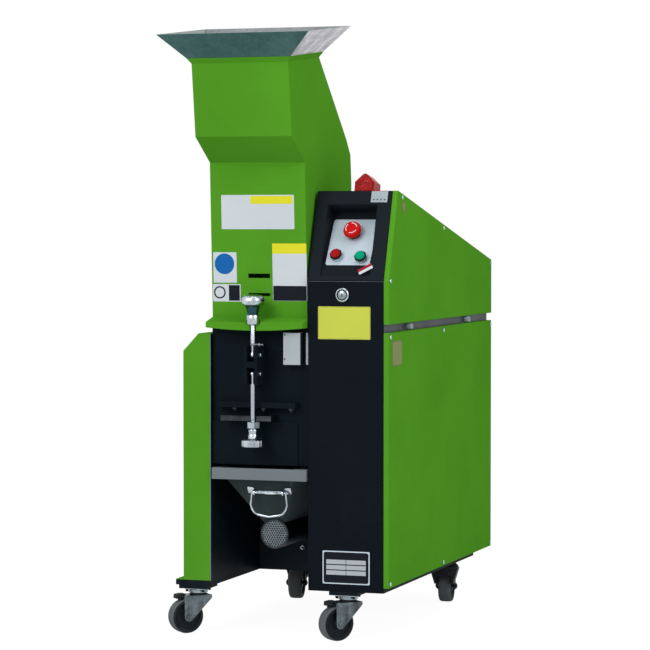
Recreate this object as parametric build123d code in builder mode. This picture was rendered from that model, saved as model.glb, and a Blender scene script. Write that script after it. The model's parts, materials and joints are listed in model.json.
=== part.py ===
from build123d import *
import os
from math import atan2, cos, hypot, radians, sin, tan

# Low-speed plastic crusher that stands beside a moulding machine, in millimetres.
# Z is up, the operator's side faces -Y, and the electrical cabinet is on the +X side.
# The origin is on the floor, under the middle of the overall box.

# Casters
wheel_radius = 37.5
wheel_width = 32
wheel_chamfer = 4
axle_radius = 4
axle_clearance = 0.05
caster_height = 99
caster_trail = 30
caster_plate = 46
caster_plate_thickness = 3
pad_size = 65
pad_thickness = 8
race_radius = 21
race_height = 12
race_gap = 0.3
fork_clearance = 2.5
fork_sheet = 3
fork_crown = 4
fork_crown_reach = 19
fork_eye = 9
shoulder_width = 66
shoulder_foot = 44
shoulder_drop = 36
brake_width = 16
brake_length = 18
brake_thickness = 7

# Kingpin places: distance in from the outer face of the side covers, distance from
# the base's near end, and the direction in which the wheel trails
kingpins = {
    "front_left": (448, 32, 224),
    "front_right": (102, 32, 229),
    "rear_right": (62, 72, 98),
    "rear_left": (426, 72, 279),
}

# Widths, from the right side cover to the left column
cover_fold = 12
cabinet_width = 170
bay_width = 224
column_width = 64
foot_flange = 18
hopper_width = 218

# Base
base_thickness = 11
bay_height = 256
base_depth = 712
rail_width = 82

# Cabinet
sheet = 2
cabinet_depth = 825
door_height = 667
panel_run = 66
panel_rise = 193
rear_rise = 35
seam = 1.5
panel_thickness = 10
recess_depth = 5
recess_tilt = 14
recess_side = 26
recess_width = 111
recess_start = 12
recess_length = 160

# Side covers
upper_cover_drop = 110.5
cover_gap = 17.5
cover_sheet = 1.5
screw_radius = 4.5
screw_height = 2.5
screw_edge = 9
rail_lap = 20

# Left column, chamber and rear cover
column_drop = 14
column_chamfer_x = 36
column_chamfer_z = 39
wall_thickness = 10
side_plate_thickness = 11
side_plate_lead = 6
chamber_front = 12
chamber_depth = 298
chamber_plate = 12
chamber_height = 298
cross_plate_thickness = 6

# Mid flange, screen bar and lower cover, hung from the chamber's top edge
flange_drop = 183
flange_height = 22
flange_width = 180
flange_reach = 24
screen_bar_drop = 201
screen_bar_height = 11.5
screen_bar_width = 150
lower_cover_margin = 16
lower_cover_gap = 3
lower_cover_thickness = 3

# Cutters: a six-sided shaft with hooked discs that turn between two fixed combs
rotor_rise = 130
rotor_radius = 50
rotor_end_gap = 4
journal_radius = 25
disc_count = 5
claw_count = 4
claw_root = 80
claw_tip = 110
claw_back = 103
claw_thickness = 22
claw_hook_angle = 9
claw_crest_angle = 12
claw_tail_angle = 48
claw_stagger = 18
comb_depth = 20
comb_height = 30
comb_play = 2.3
comb_tip_gap = 4

# Hopper: depths are from the cabinet's front and heights from the chamber's top
hopper_wall = 3
hopper_lean = 6
hopper_lead = 9
hopper_height = 574
hopper_top_depth = 203
lip_height = 12
lip_flare = 8
mouth_height = 53
mouth_flare_x = 54
mouth_flare_y = 33
mouth_sheet = 2
fold_lead = 88
fold_height = 409
under_lead = 3
under_height = 356
hopper_foot_front = 14
hopper_foot_rear = 317
rear_upright = 316
rear_shoulder_depth = 310
rear_shoulder_height = 378
rear_fold_depth = 280
rear_fold_height = 413
skirt_lip = 12
skirt_slope = 10
skirt_margin = 2
skirt_belly = 6
skirt_sheet = 3
cleaning_slot_width = 50
cleaning_slot_height = 5
cleaning_slot_rise = 70
cleaning_slot_pitch = 39

# Swing bolts and their bracket
rod_reach = 30
rod_radius = 5
rod_play = 1.5
upper_pivot_drop = 58
pivot_pitch = 41
bracket_width = 30
bracket_slot = 17
bracket_reach = 46
bracket_over = 20
bracket_under = 23
bracket_web = 26
boss_height = 13
eye_radius = 7.5
pin_radius = 4
pin_play = 0.05
pin_proud = 2
collar_radius = 14.5
collar_height = 20
collar_seat = 8
knob_radius = 26
knob_neck_radius = 11
knob_shoulder_radius = 15
knob_crown = 6
knob_neck_height = 20
knob_height = 24
knob_lobes = 6
knob_lobe_cut = 8
nut_size = 26
nut_height = 15
nut_gap = 0.3
neck_radius = 9.5
neck_height = 23
disc_radius = 24
disc_height = 17
rod_end = 6
disc_flutes = 20
disc_flute_radius = 2.2

# Switch cover on the chamber front
switch_width = 39
switch_height = 69
switch_inset = 13
switch_drop = 79
switch_proud = 25
strip_width = 6
strip_thickness = 3

# Collecting bin
bin_gap = 8
bin_drop = 140
bin_sheet = 2
bin_mouth_left = 14
bin_mouth_width = 172
bin_mouth_depth = 288
bin_outlet_width = 30
bin_outlet_front = 74
bin_outlet_depth = 140
bin_rim = 3
bin_rim_margin = 4
bar_top_gap = 1
bar_height = 25
bar_thickness = 10
bar_proud = 8
bar_left_margin = 5
bar_right_margin = 2
runner_height = 8
runner_left = 8
runner_right = 20
runner_start = 14
runner_gap = 0.3
pipe_radius = 32
pipe_wall = 2
pipe_inset = 127
pipe_sink = 7
pipe_front = 60
pipe_play = 1.5
pipe_tail = 12
cap_thickness = 3
handle_width = 100
handle_height = 16
handle_dish = 9
handle_ear = 12
handle_thickness = 3
handle_drop = 48
bail_wire = 5
bail_span = 66
bail_drop = 52
bail_foot = 36
bail_sag = 6
bail_bulge = 3
bail_waist = 27
bail_pin = 6
bail_bend = 4
bail_corner = 11
bail_play = 0.05
ear_thickness = 3
ear_radius = 6
ear_proud = 8

# Buttons, lock and lamp
plate_width = 100
plate_length = 116
plate_corner = 5
plate_start = 27
plate_thickness = 2
stop_radius = 20
stop_height = 14
stop_neck_radius = 9
stop_neck_height = 8
stop_place = (0.51, 0.69)
stop_bezel_radius = 15
stop_bezel_height = 5
button_radius = 10.5
button_height = 4.5
bezel_radius = 13
bezel_height = 12
button_play = 0.5
button_stem = 4
red_place = (0.23, 0.18)
green_place = (0.79, 0.14)
lock_radius = 15.5
lock_proud = 6
lock_drop = 30
lock_share = 0.46
lamp_width = 44
lamp_depth = 50
lamp_height = 27
lamp_peak = 22
lamp_flat = 6
lamp_base_height = 4
lamp_x = 77
lamp_y = 108
lamp_strap_left = 47
lamp_strap_width = 37
lamp_strap_drop = 27
lamp_strap_sheet = 1.5
lamp_guard_height = 34

# Places along X, from the outer face of the side covers to the left
front_left_inset, front_left_end, front_left_trail = kingpins["front_left"]
trail_left = -cos(radians(front_left_trail))
trail_across = abs(sin(radians(front_left_trail)))
tread_edge = wheel_width / 2 - wheel_chamfer
left_reach = (caster_trail + wheel_radius) * trail_left + tread_edge * trail_across
side_x = (front_left_inset + left_reach - screw_height) / 2
cabinet_right = side_x - cover_fold
cabinet_left = cabinet_right - cabinet_width
bay_left = cabinet_left - bay_width
column_left = bay_left - column_width
hopper_left = bay_left
hopper_right = hopper_left + hopper_width
hopper_mid = (hopper_left + hopper_right) / 2
chamber_right = cabinet_left - side_plate_thickness

# Places along Y: the mouth's front rim and the cabinet's back bound the box
lean = radians(hopper_lean)
mouth_depth = hopper_top_depth + 2 * (lip_flare + mouth_flare_y)
mouth_width = hopper_width + 2 * (lip_flare + mouth_flare_x)
mouth_rise = lip_height + mouth_height
mouth_overhang = mouth_rise * sin(lean) + mouth_depth / 2 * cos(lean) + hopper_lead
front_y = (mouth_overhang - cabinet_depth) / 2
plate_y = front_y + chamber_front
chamber_back = front_y + chamber_front + chamber_depth
cross_y = chamber_back
rod_y = front_y - rod_reach

# Heights
base_bottom = caster_height + pad_thickness
base_top = base_bottom + base_thickness
door_top = base_bottom + door_height
panel_top = door_top + panel_rise
rear_height = door_top + rear_rise
cover_split = door_top - upper_cover_drop
chamber_bottom = base_top + bay_height
chamber_top = chamber_bottom + chamber_height
column_height = chamber_top - column_drop
flange_bottom = chamber_top - flange_drop
screen_bar_bottom = chamber_top - screen_bar_drop
upper_pivot = chamber_top - upper_pivot_drop
lower_pivot = upper_pivot - pivot_pitch
switch_bottom = chamber_top - switch_drop
bin_top = chamber_bottom - bin_gap
bin_bottom = bin_top - bin_drop
pipe_height = bin_bottom - pipe_sink
handle_middle = bin_top - handle_drop
hopper_top_z = chamber_top + hopper_height
fork_top = caster_height - caster_plate_thickness - race_gap
panel_slope = hypot(panel_run, panel_rise)
out_of_panel = Vector(0, -panel_rise / panel_slope, panel_run / panel_slope)
recess_lean = atan2(panel_run, panel_rise) + radians(recess_tilt)
out_of_recess = Vector(0, -cos(recess_lean), sin(recess_lean))

corner = (Align.MIN, Align.MIN, Align.MIN)

os.makedirs("parts", exist_ok=True)


def save(piece, name):
    """Label a finished piece and write it as its own STEP file."""
    piece.part.label = name
    export_step(piece.part, f"parts/{name}.step")


def block(x, y, z, mode=Mode.ADD):
    """A box between two places along each axis."""
    with Locations((x[0], y[0], z[0])):
        Box(x[1] - x[0], y[1] - y[0], z[1] - z[0], align=corner, mode=mode)


def side_profile(points):
    """A closed outline in the YZ plane, with Y measured back from the cabinet's front."""
    Polygon(*[(front_y + y, z) for y, z in points], align=None)


def taper(plane, wide, narrow, height, mode=Mode.ADD):
    """A four-sided taper on a plane, whose Y axis runs from its wide end to its narrow end."""
    x_step = (wide[0] - narrow[0]) / 2
    z_step = (wide[1] - narrow[1]) / 2
    with Locations(plane):
        Wedge(
            wide[0],
            height,
            wide[1],
            x_step,
            z_step,
            wide[0] - x_step,
            wide[1] - z_step,
            align=(Align.CENTER, Align.MIN, Align.CENTER),
            mode=mode,
        )


def panel_plane(depth=0):
    """The slanted control panel: x from the cabinet's left edge, y up the slope."""
    start = Vector(cabinet_left, front_y, door_top) + out_of_panel * depth
    return Plane(origin=start, x_dir=(1, 0, 0), z_dir=out_of_panel)


def recess_plane(height=0):
    """The recess's floor, which leans back more than the panel: y up from its lower edge."""
    start = panel_plane(-recess_depth).from_local_coords(Vector(0, recess_start, 0))
    return Plane(origin=start + out_of_recess * height, x_dir=(1, 0, 0), z_dir=out_of_recess)


# Casters: pads and top plates are fixed, forks swivel and wheels roll
def kingpin(name):
    """The kingpin's X and Y, and the angle of the trailing direction."""
    inset, end, angle = kingpins[name]
    back = end if name.startswith("front") else base_depth - end
    return side_x - inset, front_y + back, radians(angle)


def wheel_plane(name, offset=0):
    """The upright plane of one wheel, x along the trail and y up from the floor."""
    x, y, angle = kingpin(name)
    trail = Vector(cos(angle), sin(angle), 0)
    axle = Vector(sin(angle), -cos(angle), 0)
    return Plane(origin=Vector(x, y, 0) + axle * offset, x_dir=trail, z_dir=axle)


with BuildPart() as caster_pads:
    for name in kingpins:
        x, y, angle = kingpin(name)
        with Locations((x, y, caster_height)):
            Box(pad_size, pad_size, pad_thickness, align=(Align.CENTER, Align.CENTER, Align.MIN))
save(caster_pads, "caster_pads")

with BuildPart() as caster_plates:
    for name in kingpins:
        x, y, angle = kingpin(name)
        with Locations((x, y, caster_height)):
            Box(
                caster_plate,
                caster_plate,
                caster_plate_thickness,
                align=(Align.CENTER, Align.CENTER, Align.MAX),
            )
save(caster_plates, "caster_plates")

fork_gap = wheel_width / 2 + fork_clearance
fork_hip = fork_top - race_height

for name in kingpins:
    x, y, angle = kingpin(name)
    with BuildPart() as caster_fork:
        with BuildSketch(Plane.XY.offset(fork_top)):
            with Locations((x, y)):
                Circle(race_radius)
        extrude(amount=-race_height)
        for side in (1, -1):
            with BuildSketch(wheel_plane(name, side * fork_gap)):
                with BuildLine():
                    Polyline(
                        (-fork_crown_reach, fork_hip),
                        (-fork_crown_reach, fork_hip - fork_crown),
                        (caster_trail - fork_eye, wheel_radius),
                        (caster_trail + fork_eye, wheel_radius),
                        (fork_crown_reach + fork_crown, fork_hip),
                        close=True,
                    )
                make_face()
                with Locations((caster_trail, wheel_radius)):
                    Circle(fork_eye)
            extrude(amount=side * fork_sheet)
        with BuildSketch(wheel_plane(name, -fork_gap - fork_sheet)):
            with Locations((0, fork_hip)):
                Rectangle(2 * fork_crown_reach, fork_crown, align=(Align.CENTER, Align.MAX))
        extrude(amount=2 * (fork_gap + fork_sheet))
        with BuildSketch(wheel_plane(name, -fork_gap - fork_sheet)):
            with Locations((caster_trail, wheel_radius)):
                Circle(axle_radius)
        extrude(amount=2 * (fork_gap + fork_sheet))
        if name.startswith("rear"):
            for drop, width in ((0, shoulder_width), (shoulder_drop, shoulder_foot)):
                level = Plane((x, y, fork_hip - drop), x_dir=(cos(angle), sin(angle), 0))
                with BuildSketch(level):
                    Rectangle(2 * fork_crown_reach, width)
            loft()
            with BuildSketch(wheel_plane(name, -fork_gap)):
                with Locations((0, fork_hip - fork_crown)):
                    Rectangle(4 * fork_crown_reach, shoulder_drop, align=(Align.CENTER, Align.MAX))
            extrude(amount=2 * fork_gap, mode=Mode.SUBTRACT)
        if name.startswith("front"):
            with BuildSketch(wheel_plane(name, -brake_width / 2)):
                with Locations((fork_crown_reach, fork_hip)):
                    Rectangle(brake_length, brake_thickness, align=(Align.MIN, Align.MIN))
            extrude(amount=brake_width)
    save(caster_fork, f"caster_fork_{name}")

    with BuildPart() as caster_wheel:
        with BuildSketch(wheel_plane(name, -wheel_width / 2)):
            with Locations((caster_trail, wheel_radius)):
                Circle(wheel_radius)
        extrude(amount=wheel_width)
        rims = caster_wheel.edges().filter_by(GeomType.CIRCLE)
        chamfer(rims, length=wheel_chamfer)
        with BuildSketch(wheel_plane(name, -wheel_width / 2)):
            with Locations((caster_trail, wheel_radius)):
                Circle(axle_radius + axle_clearance)
        extrude(amount=wheel_width, mode=Mode.SUBTRACT)
    save(caster_wheel, f"caster_wheel_{name}")

# Base: a rail under each side and a deck behind the open bay
column_foot = column_left - foot_flange
cross_back = cross_y + cross_plate_thickness
base_back = front_y + base_depth

with BuildPart() as base_left_rail:
    block((column_foot, column_foot + rail_width), (front_y, base_back), (base_bottom, base_top))
save(base_left_rail, "base_left_rail")

with BuildPart() as base_right_rail:
    block((cabinet_left, cabinet_right), (front_y + sheet, base_back), (base_bottom, base_top))
save(base_right_rail, "base_right_rail")

with BuildPart() as base_rear_deck:
    block((column_foot + rail_width, cabinet_left), (cross_back, base_back), (base_bottom, base_top))
save(base_rear_deck, "base_rear_deck")

# Cabinet: a folded shell, open at the front and on the right
roof_line = Vector(0, cabinet_depth - panel_run, rear_height - panel_top).normalized()
roof_step = roof_line * (panel_thickness / -roof_line.dot(out_of_panel))
panel_ledge = (panel_thickness / -out_of_panel.Y, door_top)
panel_head = (panel_run + roof_step.Y, panel_top + roof_step.Z)
cabinet_outline = (
    (sheet, base_top),
    (sheet, door_top),
    panel_ledge,
    panel_head,
    (cabinet_depth, rear_height),
    (cabinet_depth, base_top),
)

with BuildPart() as cabinet_shell:
    with BuildSketch(Plane.YZ.offset(cabinet_left)):
        side_profile(cabinet_outline)
    extrude(amount=cabinet_width)
    faces = cabinet_shell.faces()
    open_side = faces.sort_by(Axis.X)[-1]
    open_front = faces.sort_by(Axis.Y)[0]
    open_slope = faces.filter_by(Axis((0, 0, 0), out_of_panel))[0]
    open_ledge = faces.filter_by(Axis.Z).sort_by(Axis.Z)[-1]
    open_faces = [open_side, open_front, open_slope, open_ledge]
    offset(amount=-sheet, openings=open_faces, kind=Kind.INTERSECTION)
save(cabinet_shell, "cabinet_shell")

with BuildPart() as cabinet_door:
    block((cabinet_left, cabinet_right), (front_y, front_y + sheet), (base_bottom, door_top - seam))
save(cabinet_door, "cabinet_door")

with BuildPart() as control_panel:
    with BuildSketch(Plane.YZ.offset(cabinet_left)):
        side_profile(((0, door_top), (panel_run, panel_top), panel_head, panel_ledge))
    extrude(amount=cabinet_width)
    recess_top_depth = recess_depth + recess_length * tan(radians(recess_tilt))
    for wall, mode in ((sheet, Mode.ADD), (0, Mode.SUBTRACT)):
        pan_left = Vector(cabinet_left + recess_side - wall, front_y, door_top)
        pan_side = Plane(origin=pan_left, x_dir=-out_of_panel, z_dir=(1, 0, 0))
        with BuildSketch(pan_side):
            Polygon(
                (0, recess_start - wall),
                (recess_depth + wall, recess_start - wall),
                (recess_top_depth + wall, recess_start + recess_length + wall),
                (0, recess_start + recess_length + wall),
                align=None,
            )
        extrude(amount=recess_width + 2 * wall, mode=mode)
save(control_panel, "control_panel")

with BuildPart() as cabinet_side_rail:
    block(
        (cabinet_right - sheet, cabinet_right),
        (front_y + sheet, front_y + cabinet_depth - sheet),
        (cover_split - rail_lap, cover_split + cover_gap + rail_lap),
    )
save(cabinet_side_rail, "cabinet_side_rail")

# Side covers: green trays that close the cabinet's right side
cover_outlines = {
    "side_cover_upper": (
        (0, cover_split + cover_gap),
        (0, door_top),
        (panel_run, panel_top),
        (cabinet_depth, rear_height),
        (cabinet_depth, cover_split + cover_gap),
    ),
    "side_cover_lower": (
        (0, base_top),
        (0, cover_split),
        (cabinet_depth, cover_split),
        (cabinet_depth, base_top),
    ),
}

roof_fall = (panel_top - rear_height) / (cabinet_depth - panel_run)
roof_screws = (panel_run + 3 * screw_edge, cabinet_depth / 2, cabinet_depth - screw_edge)
cover_columns = (screw_edge, cabinet_depth / 2, cabinet_depth - screw_edge)
cover_screws = {
    "side_cover_upper": [
        (screw_edge, door_top),
        *[(y, panel_top - roof_fall * (y - panel_run) - screw_edge) for y in roof_screws],
    ],
    "side_cover_lower": [
        (y, z) for z in (base_top + screw_edge, cover_split - screw_edge) for y in cover_columns
    ],
}

for name, outline in cover_outlines.items():
    with BuildPart() as side_cover:
        with BuildSketch(Plane.YZ.offset(cabinet_right)):
            side_profile(outline)
        extrude(amount=cover_fold)
        inner_face = side_cover.faces().sort_by(Axis.X)[0]
        offset(amount=-cover_sheet, openings=[inner_face], kind=Kind.INTERSECTION)
        with BuildSketch(Plane.YZ.offset(side_x)):
            with Locations(*[(front_y + y, z) for y, z in cover_screws[name]]):
                Circle(screw_radius)
        extrude(amount=screw_height)
    save(side_cover, name)

# Left column: the bay's left wall with a folded cover over it
wall_left = bay_left - wall_thickness
lining_top = column_height - sheet

with BuildPart() as left_wall:
    block((wall_left, bay_left), (front_y + sheet, cross_back), (base_top, lining_top))
save(left_wall, "left_wall")

with BuildPart() as left_cover:
    with BuildSketch(Plane.XZ.offset(-front_y)):
        Polygon(
            (column_left, base_top),
            (column_left, column_height - column_chamfer_z),
            (column_left + column_chamfer_x, column_height),
            (bay_left, column_height),
            (bay_left, base_top),
            align=None,
        )
    extrude(amount=-base_depth)
    faces = left_cover.faces()
    underside = faces.sort_by(Axis.Z)[0]
    bay_side = faces.sort_by(Axis.X)[-1]
    offset(amount=-sheet, openings=[underside, bay_side], kind=Kind.INTERSECTION)
    block((column_foot, column_left), (front_y, base_back), (base_top, base_top + sheet))
save(left_cover, "left_cover")

# Open bay: the cross plate closes it behind, and the suction pipe ends in its hole
pipe_axis_x = bay_left + pipe_inset

with BuildPart() as rear_cross_plate:
    block((bay_left, cabinet_left), (cross_y, cross_back), (base_bottom, lining_top))
    with BuildSketch(Plane.XZ.offset(-cross_y)):
        with Locations((pipe_axis_x, pipe_height)):
            Circle(pipe_radius + pipe_play)
    extrude(amount=-cross_plate_thickness, mode=Mode.SUBTRACT)
save(rear_cross_plate, "rear_cross_plate")

with BuildPart() as rear_cover:
    block((bay_left, cabinet_left), (cross_back, base_back), (base_top, column_height))
    faces = rear_cover.faces()
    underside = faces.sort_by(Axis.Z)[0]
    plate_side = faces.sort_by(Axis.Y)[0]
    column_side = faces.sort_by(Axis.X)[0]
    cabinet_side = faces.sort_by(Axis.X)[-1]
    offset(amount=-sheet, openings=[underside, plate_side, column_side, cabinet_side])
save(rear_cover, "rear_cover")

# Crushing chamber: plates round the cutters, between the left wall and the cabinet
inside_front = plate_y + chamber_plate
inside_back = chamber_back - chamber_plate

with BuildPart() as chamber_front_plate:
    block((bay_left, chamber_right), (plate_y, inside_front), (chamber_bottom, chamber_top))
save(chamber_front_plate, "chamber_front_plate")

with BuildPart() as chamber_rear_plate:
    block((bay_left, chamber_right), (inside_back, chamber_back), (chamber_bottom, chamber_top))
save(chamber_rear_plate, "chamber_rear_plate")

with BuildPart() as chamber_side_plate:
    side_span = (plate_y - side_plate_lead, chamber_back)
    block((chamber_right, cabinet_left), side_span, (chamber_bottom, chamber_top))
save(chamber_side_plate, "chamber_side_plate")

# The cutters fill the chamber between the left wall and the side plate
rotor_y = (inside_front + inside_back) / 2
rotor_z = chamber_bottom + rotor_rise
disc_pitch = (chamber_right - bay_left) / disc_count


def rotor_plane(x):
    """An upright plane across the shaft, x to the back and y up."""
    return Plane(origin=(x, rotor_y, rotor_z), x_dir=(0, 1, 0), z_dir=(1, 0, 0))


def claw_points(turn):
    """The outline of one cutter disc: hooked claws with long backs, turned about the shaft."""
    corners = (
        (claw_root, 0),
        (claw_tip, -claw_hook_angle),
        (claw_back, claw_crest_angle),
        (claw_root, claw_tail_angle),
    )
    points = []
    for claw in range(claw_count):
        start = turn + claw * 360 / claw_count
        for radius, angle in corners:
            around = radians(start + angle)
            points.append((radius * cos(around), radius * sin(around)))
    return points


with BuildPart() as cutter_rotor:
    with BuildSketch(rotor_plane(bay_left)):
        Circle(journal_radius)
    extrude(amount=chamber_right - bay_left)
    with BuildSketch(rotor_plane(bay_left + rotor_end_gap)):
        RegularPolygon(rotor_radius, 6)
    extrude(amount=chamber_right - bay_left - 2 * rotor_end_gap)
    for place in range(disc_count):
        disc_start = bay_left + (place + 0.5) * disc_pitch - claw_thickness / 2
        with BuildSketch(rotor_plane(disc_start)):
            Polygon(*claw_points(place * claw_stagger), align=None)
        extrude(amount=claw_thickness)
save(cutter_rotor, "cutter_rotor")

comb_tooth = disc_pitch - claw_thickness - 2 * comb_play
comb_span = (rotor_z - comb_height / 2, rotor_z + comb_height / 2)
combs = {
    "front_comb": (inside_front, inside_front + comb_depth, rotor_y - rotor_radius - comb_tip_gap),
    "rear_comb": (inside_back - comb_depth, inside_back, rotor_y + rotor_radius + comb_tip_gap),
}

for name, (bar_front, bar_back, tooth_tip) in combs.items():
    with BuildPart() as comb:
        block((bay_left, chamber_right), (bar_front, bar_back), comb_span)
        tooth_depth = (min(bar_front, tooth_tip), max(bar_back, tooth_tip))
        for gap in range(1, disc_count):
            tooth_x = bay_left + gap * disc_pitch - comb_tooth / 2
            block((tooth_x, tooth_x + comb_tooth), tooth_depth, comb_span)
    save(comb, name)

with BuildPart() as mid_flange:
    with Locations((hopper_mid, plate_y, flange_bottom)):
        Box(
            flange_width,
            flange_reach,
            flange_height,
            align=(Align.CENTER, Align.MAX, Align.MIN),
        )
save(mid_flange, "mid_flange")

with BuildPart() as lower_cover:
    block(
        (bay_left, chamber_right - lower_cover_margin),
        (plate_y - lower_cover_thickness, plate_y),
        (chamber_bottom, screen_bar_bottom - lower_cover_gap),
    )
save(lower_cover, "lower_cover")

with BuildPart() as screen_bar:
    with BuildSketch(Plane.XY.offset(screen_bar_bottom)):
        with Locations((hopper_mid, plate_y)):
            Rectangle(screen_bar_width, plate_y - rod_y, align=(Align.CENTER, Align.MAX))
        with Locations((hopper_mid, rod_y)):
            Rectangle(2 * (rod_radius + rod_play), 2 * (rod_radius + rod_play), mode=Mode.SUBTRACT)
    extrude(amount=screen_bar_height)
save(screen_bar, "screen_bar")

# Switch cover and its strip beside the cabinet
with BuildPart() as switch_cover:
    switch_right = chamber_right - switch_inset + side_plate_thickness
    block(
        (switch_right - switch_width, switch_right),
        (plate_y - switch_proud, plate_y),
        (switch_bottom, switch_bottom + switch_height),
    )
    strip_front = plate_y - side_plate_lead - strip_thickness
    block(
        (cabinet_left - strip_width, cabinet_left),
        (strip_front, strip_front + strip_thickness),
        (switch_bottom, switch_bottom + switch_height),
    )
save(switch_cover, "switch_cover")

# Clamp bracket with the two swing bolts
bracket_front = front_y - bracket_reach


def rod_plane(height):
    """A level plane through the swing bolts, centred on their axis."""
    return Plane(origin=(hopper_mid, rod_y, height))


def pivot_plane(height, offset=0):
    """An upright plane across a pivot pin, y up."""
    return Plane(origin=(hopper_mid + offset, rod_y, height), x_dir=(0, 1, 0), z_dir=(1, 0, 0))


with BuildPart() as clamp_bracket:
    ears = (hopper_mid - bracket_width / 2, hopper_mid + bracket_width / 2)
    slot = (hopper_mid - bracket_slot / 2, hopper_mid + bracket_slot / 2)
    depth = (bracket_front, plate_y)
    bracket_bottom = lower_pivot - bracket_under
    bracket_top = upper_pivot + bracket_over
    boss_bottom = (upper_pivot + lower_pivot - boss_height) / 2
    block(ears, depth, (bracket_bottom, bracket_top))
    slot_depth = (bracket_front, plate_y - bracket_web)
    block(slot, slot_depth, (bracket_bottom, boss_bottom), mode=Mode.SUBTRACT)
    block(slot, slot_depth, (boss_bottom + boss_height, bracket_top), mode=Mode.SUBTRACT)
    for pivot in (upper_pivot, lower_pivot):
        pin_half = bracket_width / 2 + pin_proud
        with BuildSketch(pivot_plane(pivot, -pin_half)):
            Circle(pin_radius)
        extrude(amount=2 * pin_half)
save(clamp_bracket, "clamp_bracket")

skirt_bottom = chamber_top
skirt_top = chamber_top + skirt_lip
seat_height = chamber_top + collar_seat
collar_top = seat_height + collar_height
neck_top = collar_top + knob_neck_height
knob_top = neck_top + knob_height
nut_top = screen_bar_bottom - nut_gap
disc_top = nut_top - nut_height - neck_height
eye_width = bracket_slot - 2 * rod_play / 3

bolts = {
    "upper_swing_bolt": (upper_pivot, knob_top - knob_height / 2 - upper_pivot),
    "lower_swing_bolt": (lower_pivot, disc_top - disc_height - rod_end - lower_pivot),
}

for name, (pivot, length) in bolts.items():
    with BuildPart() as swing_bolt:
        with BuildSketch(rod_plane(pivot)):
            Circle(rod_radius)
        extrude(amount=length)
        with BuildSketch(pivot_plane(pivot, -eye_width / 2)):
            Circle(eye_radius)
        extrude(amount=eye_width)
        with BuildSketch(pivot_plane(pivot, -eye_width / 2)):
            Circle(pin_radius + pin_play)
        extrude(amount=eye_width, mode=Mode.SUBTRACT)
    save(swing_bolt, name)

with BuildPart() as upper_knob:
    with BuildSketch(Plane(origin=(hopper_mid, rod_y, 0), x_dir=(1, 0, 0), z_dir=(0, -1, 0))):
        Polygon(
            (0, seat_height),
            (collar_radius, seat_height),
            (collar_radius, collar_top),
            (knob_neck_radius, collar_top),
            (knob_shoulder_radius, neck_top),
            (knob_radius, neck_top),
            (knob_radius, knob_top - knob_crown),
            (knob_radius - knob_crown, knob_top),
            (0, knob_top),
            align=None,
        )
    revolve(axis=Axis((hopper_mid, rod_y, 0), (0, 0, 1)))
    with BuildSketch(rod_plane(neck_top)):
        with PolarLocations(knob_radius + knob_lobe_cut / 2, knob_lobes):
            Circle(knob_lobe_cut)
    extrude(amount=knob_height, mode=Mode.SUBTRACT)
    with BuildSketch(rod_plane(seat_height)):
        Circle(rod_radius)
    extrude(amount=knob_top - knob_height / 2 - seat_height, mode=Mode.SUBTRACT)
save(upper_knob, "upper_knob")

with BuildPart() as lower_hand_wheel:
    with BuildSketch(rod_plane(nut_top)):
        RegularPolygon(nut_size / 2, 6, major_radius=False)
    extrude(amount=-nut_height)
    with BuildSketch(rod_plane(nut_top - nut_height)):
        Circle(neck_radius)
    extrude(amount=-neck_height)
    with BuildSketch(rod_plane(disc_top)):
        Circle(disc_radius)
        with PolarLocations(disc_radius, disc_flutes):
            Circle(disc_flute_radius, mode=Mode.SUBTRACT)
    extrude(amount=-disc_height)
    with BuildSketch(rod_plane(nut_top)):
        Circle(rod_radius)
    extrude(amount=disc_top - disc_height - nut_top, mode=Mode.SUBTRACT)
save(lower_hand_wheel, "lower_hand_wheel")

# Hopper: skirt, dog-leg duct and flared mouth
hopper_top_y = front_y - hopper_lead


def hopper_plane(height):
    """A plane along the duct's end, this high over it, with its Y axis down into the duct."""
    centre = (hopper_mid, hopper_top_y - height * sin(lean), hopper_top_z + height * cos(lean))
    return Plane(origin=centre, x_dir=(1, 0, 0), z_dir=(0, cos(lean), sin(lean)))


top_reach = hopper_top_depth / 2 * cos(lean)
top_tilt = hopper_top_depth / 2 * sin(lean)

with BuildPart() as hopper_skirt:
    skirt_right = cabinet_left - skirt_margin
    duct_lean = (-under_lead - hopper_foot_front) / (chamber_top + under_height - skirt_top)
    skirt_root = hopper_foot_front + skirt_slope * duct_lean
    with BuildSketch(Plane.YZ.offset(bay_left)):
        Polygon(
            (rod_y, skirt_bottom),
            (rod_y, skirt_top),
            (front_y + skirt_root, skirt_top + skirt_slope),
            (front_y + hopper_foot_front, skirt_top),
            (front_y + hopper_foot_rear, skirt_top),
            (front_y + hopper_foot_rear, skirt_bottom),
            align=None,
        )
    extrude(amount=skirt_right - bay_left)
    with BuildSketch(Plane.XZ.offset(-rod_y)):
        with BuildLine():
            ThreePointArc(
                (bay_left, skirt_bottom),
                ((bay_left + skirt_right) / 2, skirt_bottom - skirt_belly),
                (skirt_right, skirt_bottom),
            )
            Line((bay_left, skirt_bottom), (skirt_right, skirt_bottom))
        make_face()
    extrude(amount=-skirt_sheet)
    inside_left = hopper_left + hopper_wall
    inside_right = hopper_right - hopper_wall
    block(
        (inside_left, chamber_right),
        (inside_front, inside_back),
        (skirt_bottom, skirt_top),
        mode=Mode.SUBTRACT,
    )
    with BuildSketch(rod_plane(skirt_bottom - skirt_belly)):
        SlotOverall(4 * (rod_radius + rod_play), 2 * (rod_radius + rod_play), rotation=90)
    extrude(amount=skirt_belly + skirt_lip + skirt_slope, mode=Mode.SUBTRACT)
    with BuildSketch(rod_plane(seat_height)):
        Circle(collar_radius + rod_play)
    extrude(amount=skirt_lip + skirt_slope, mode=Mode.SUBTRACT)
save(hopper_skirt, "hopper_skirt")

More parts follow.
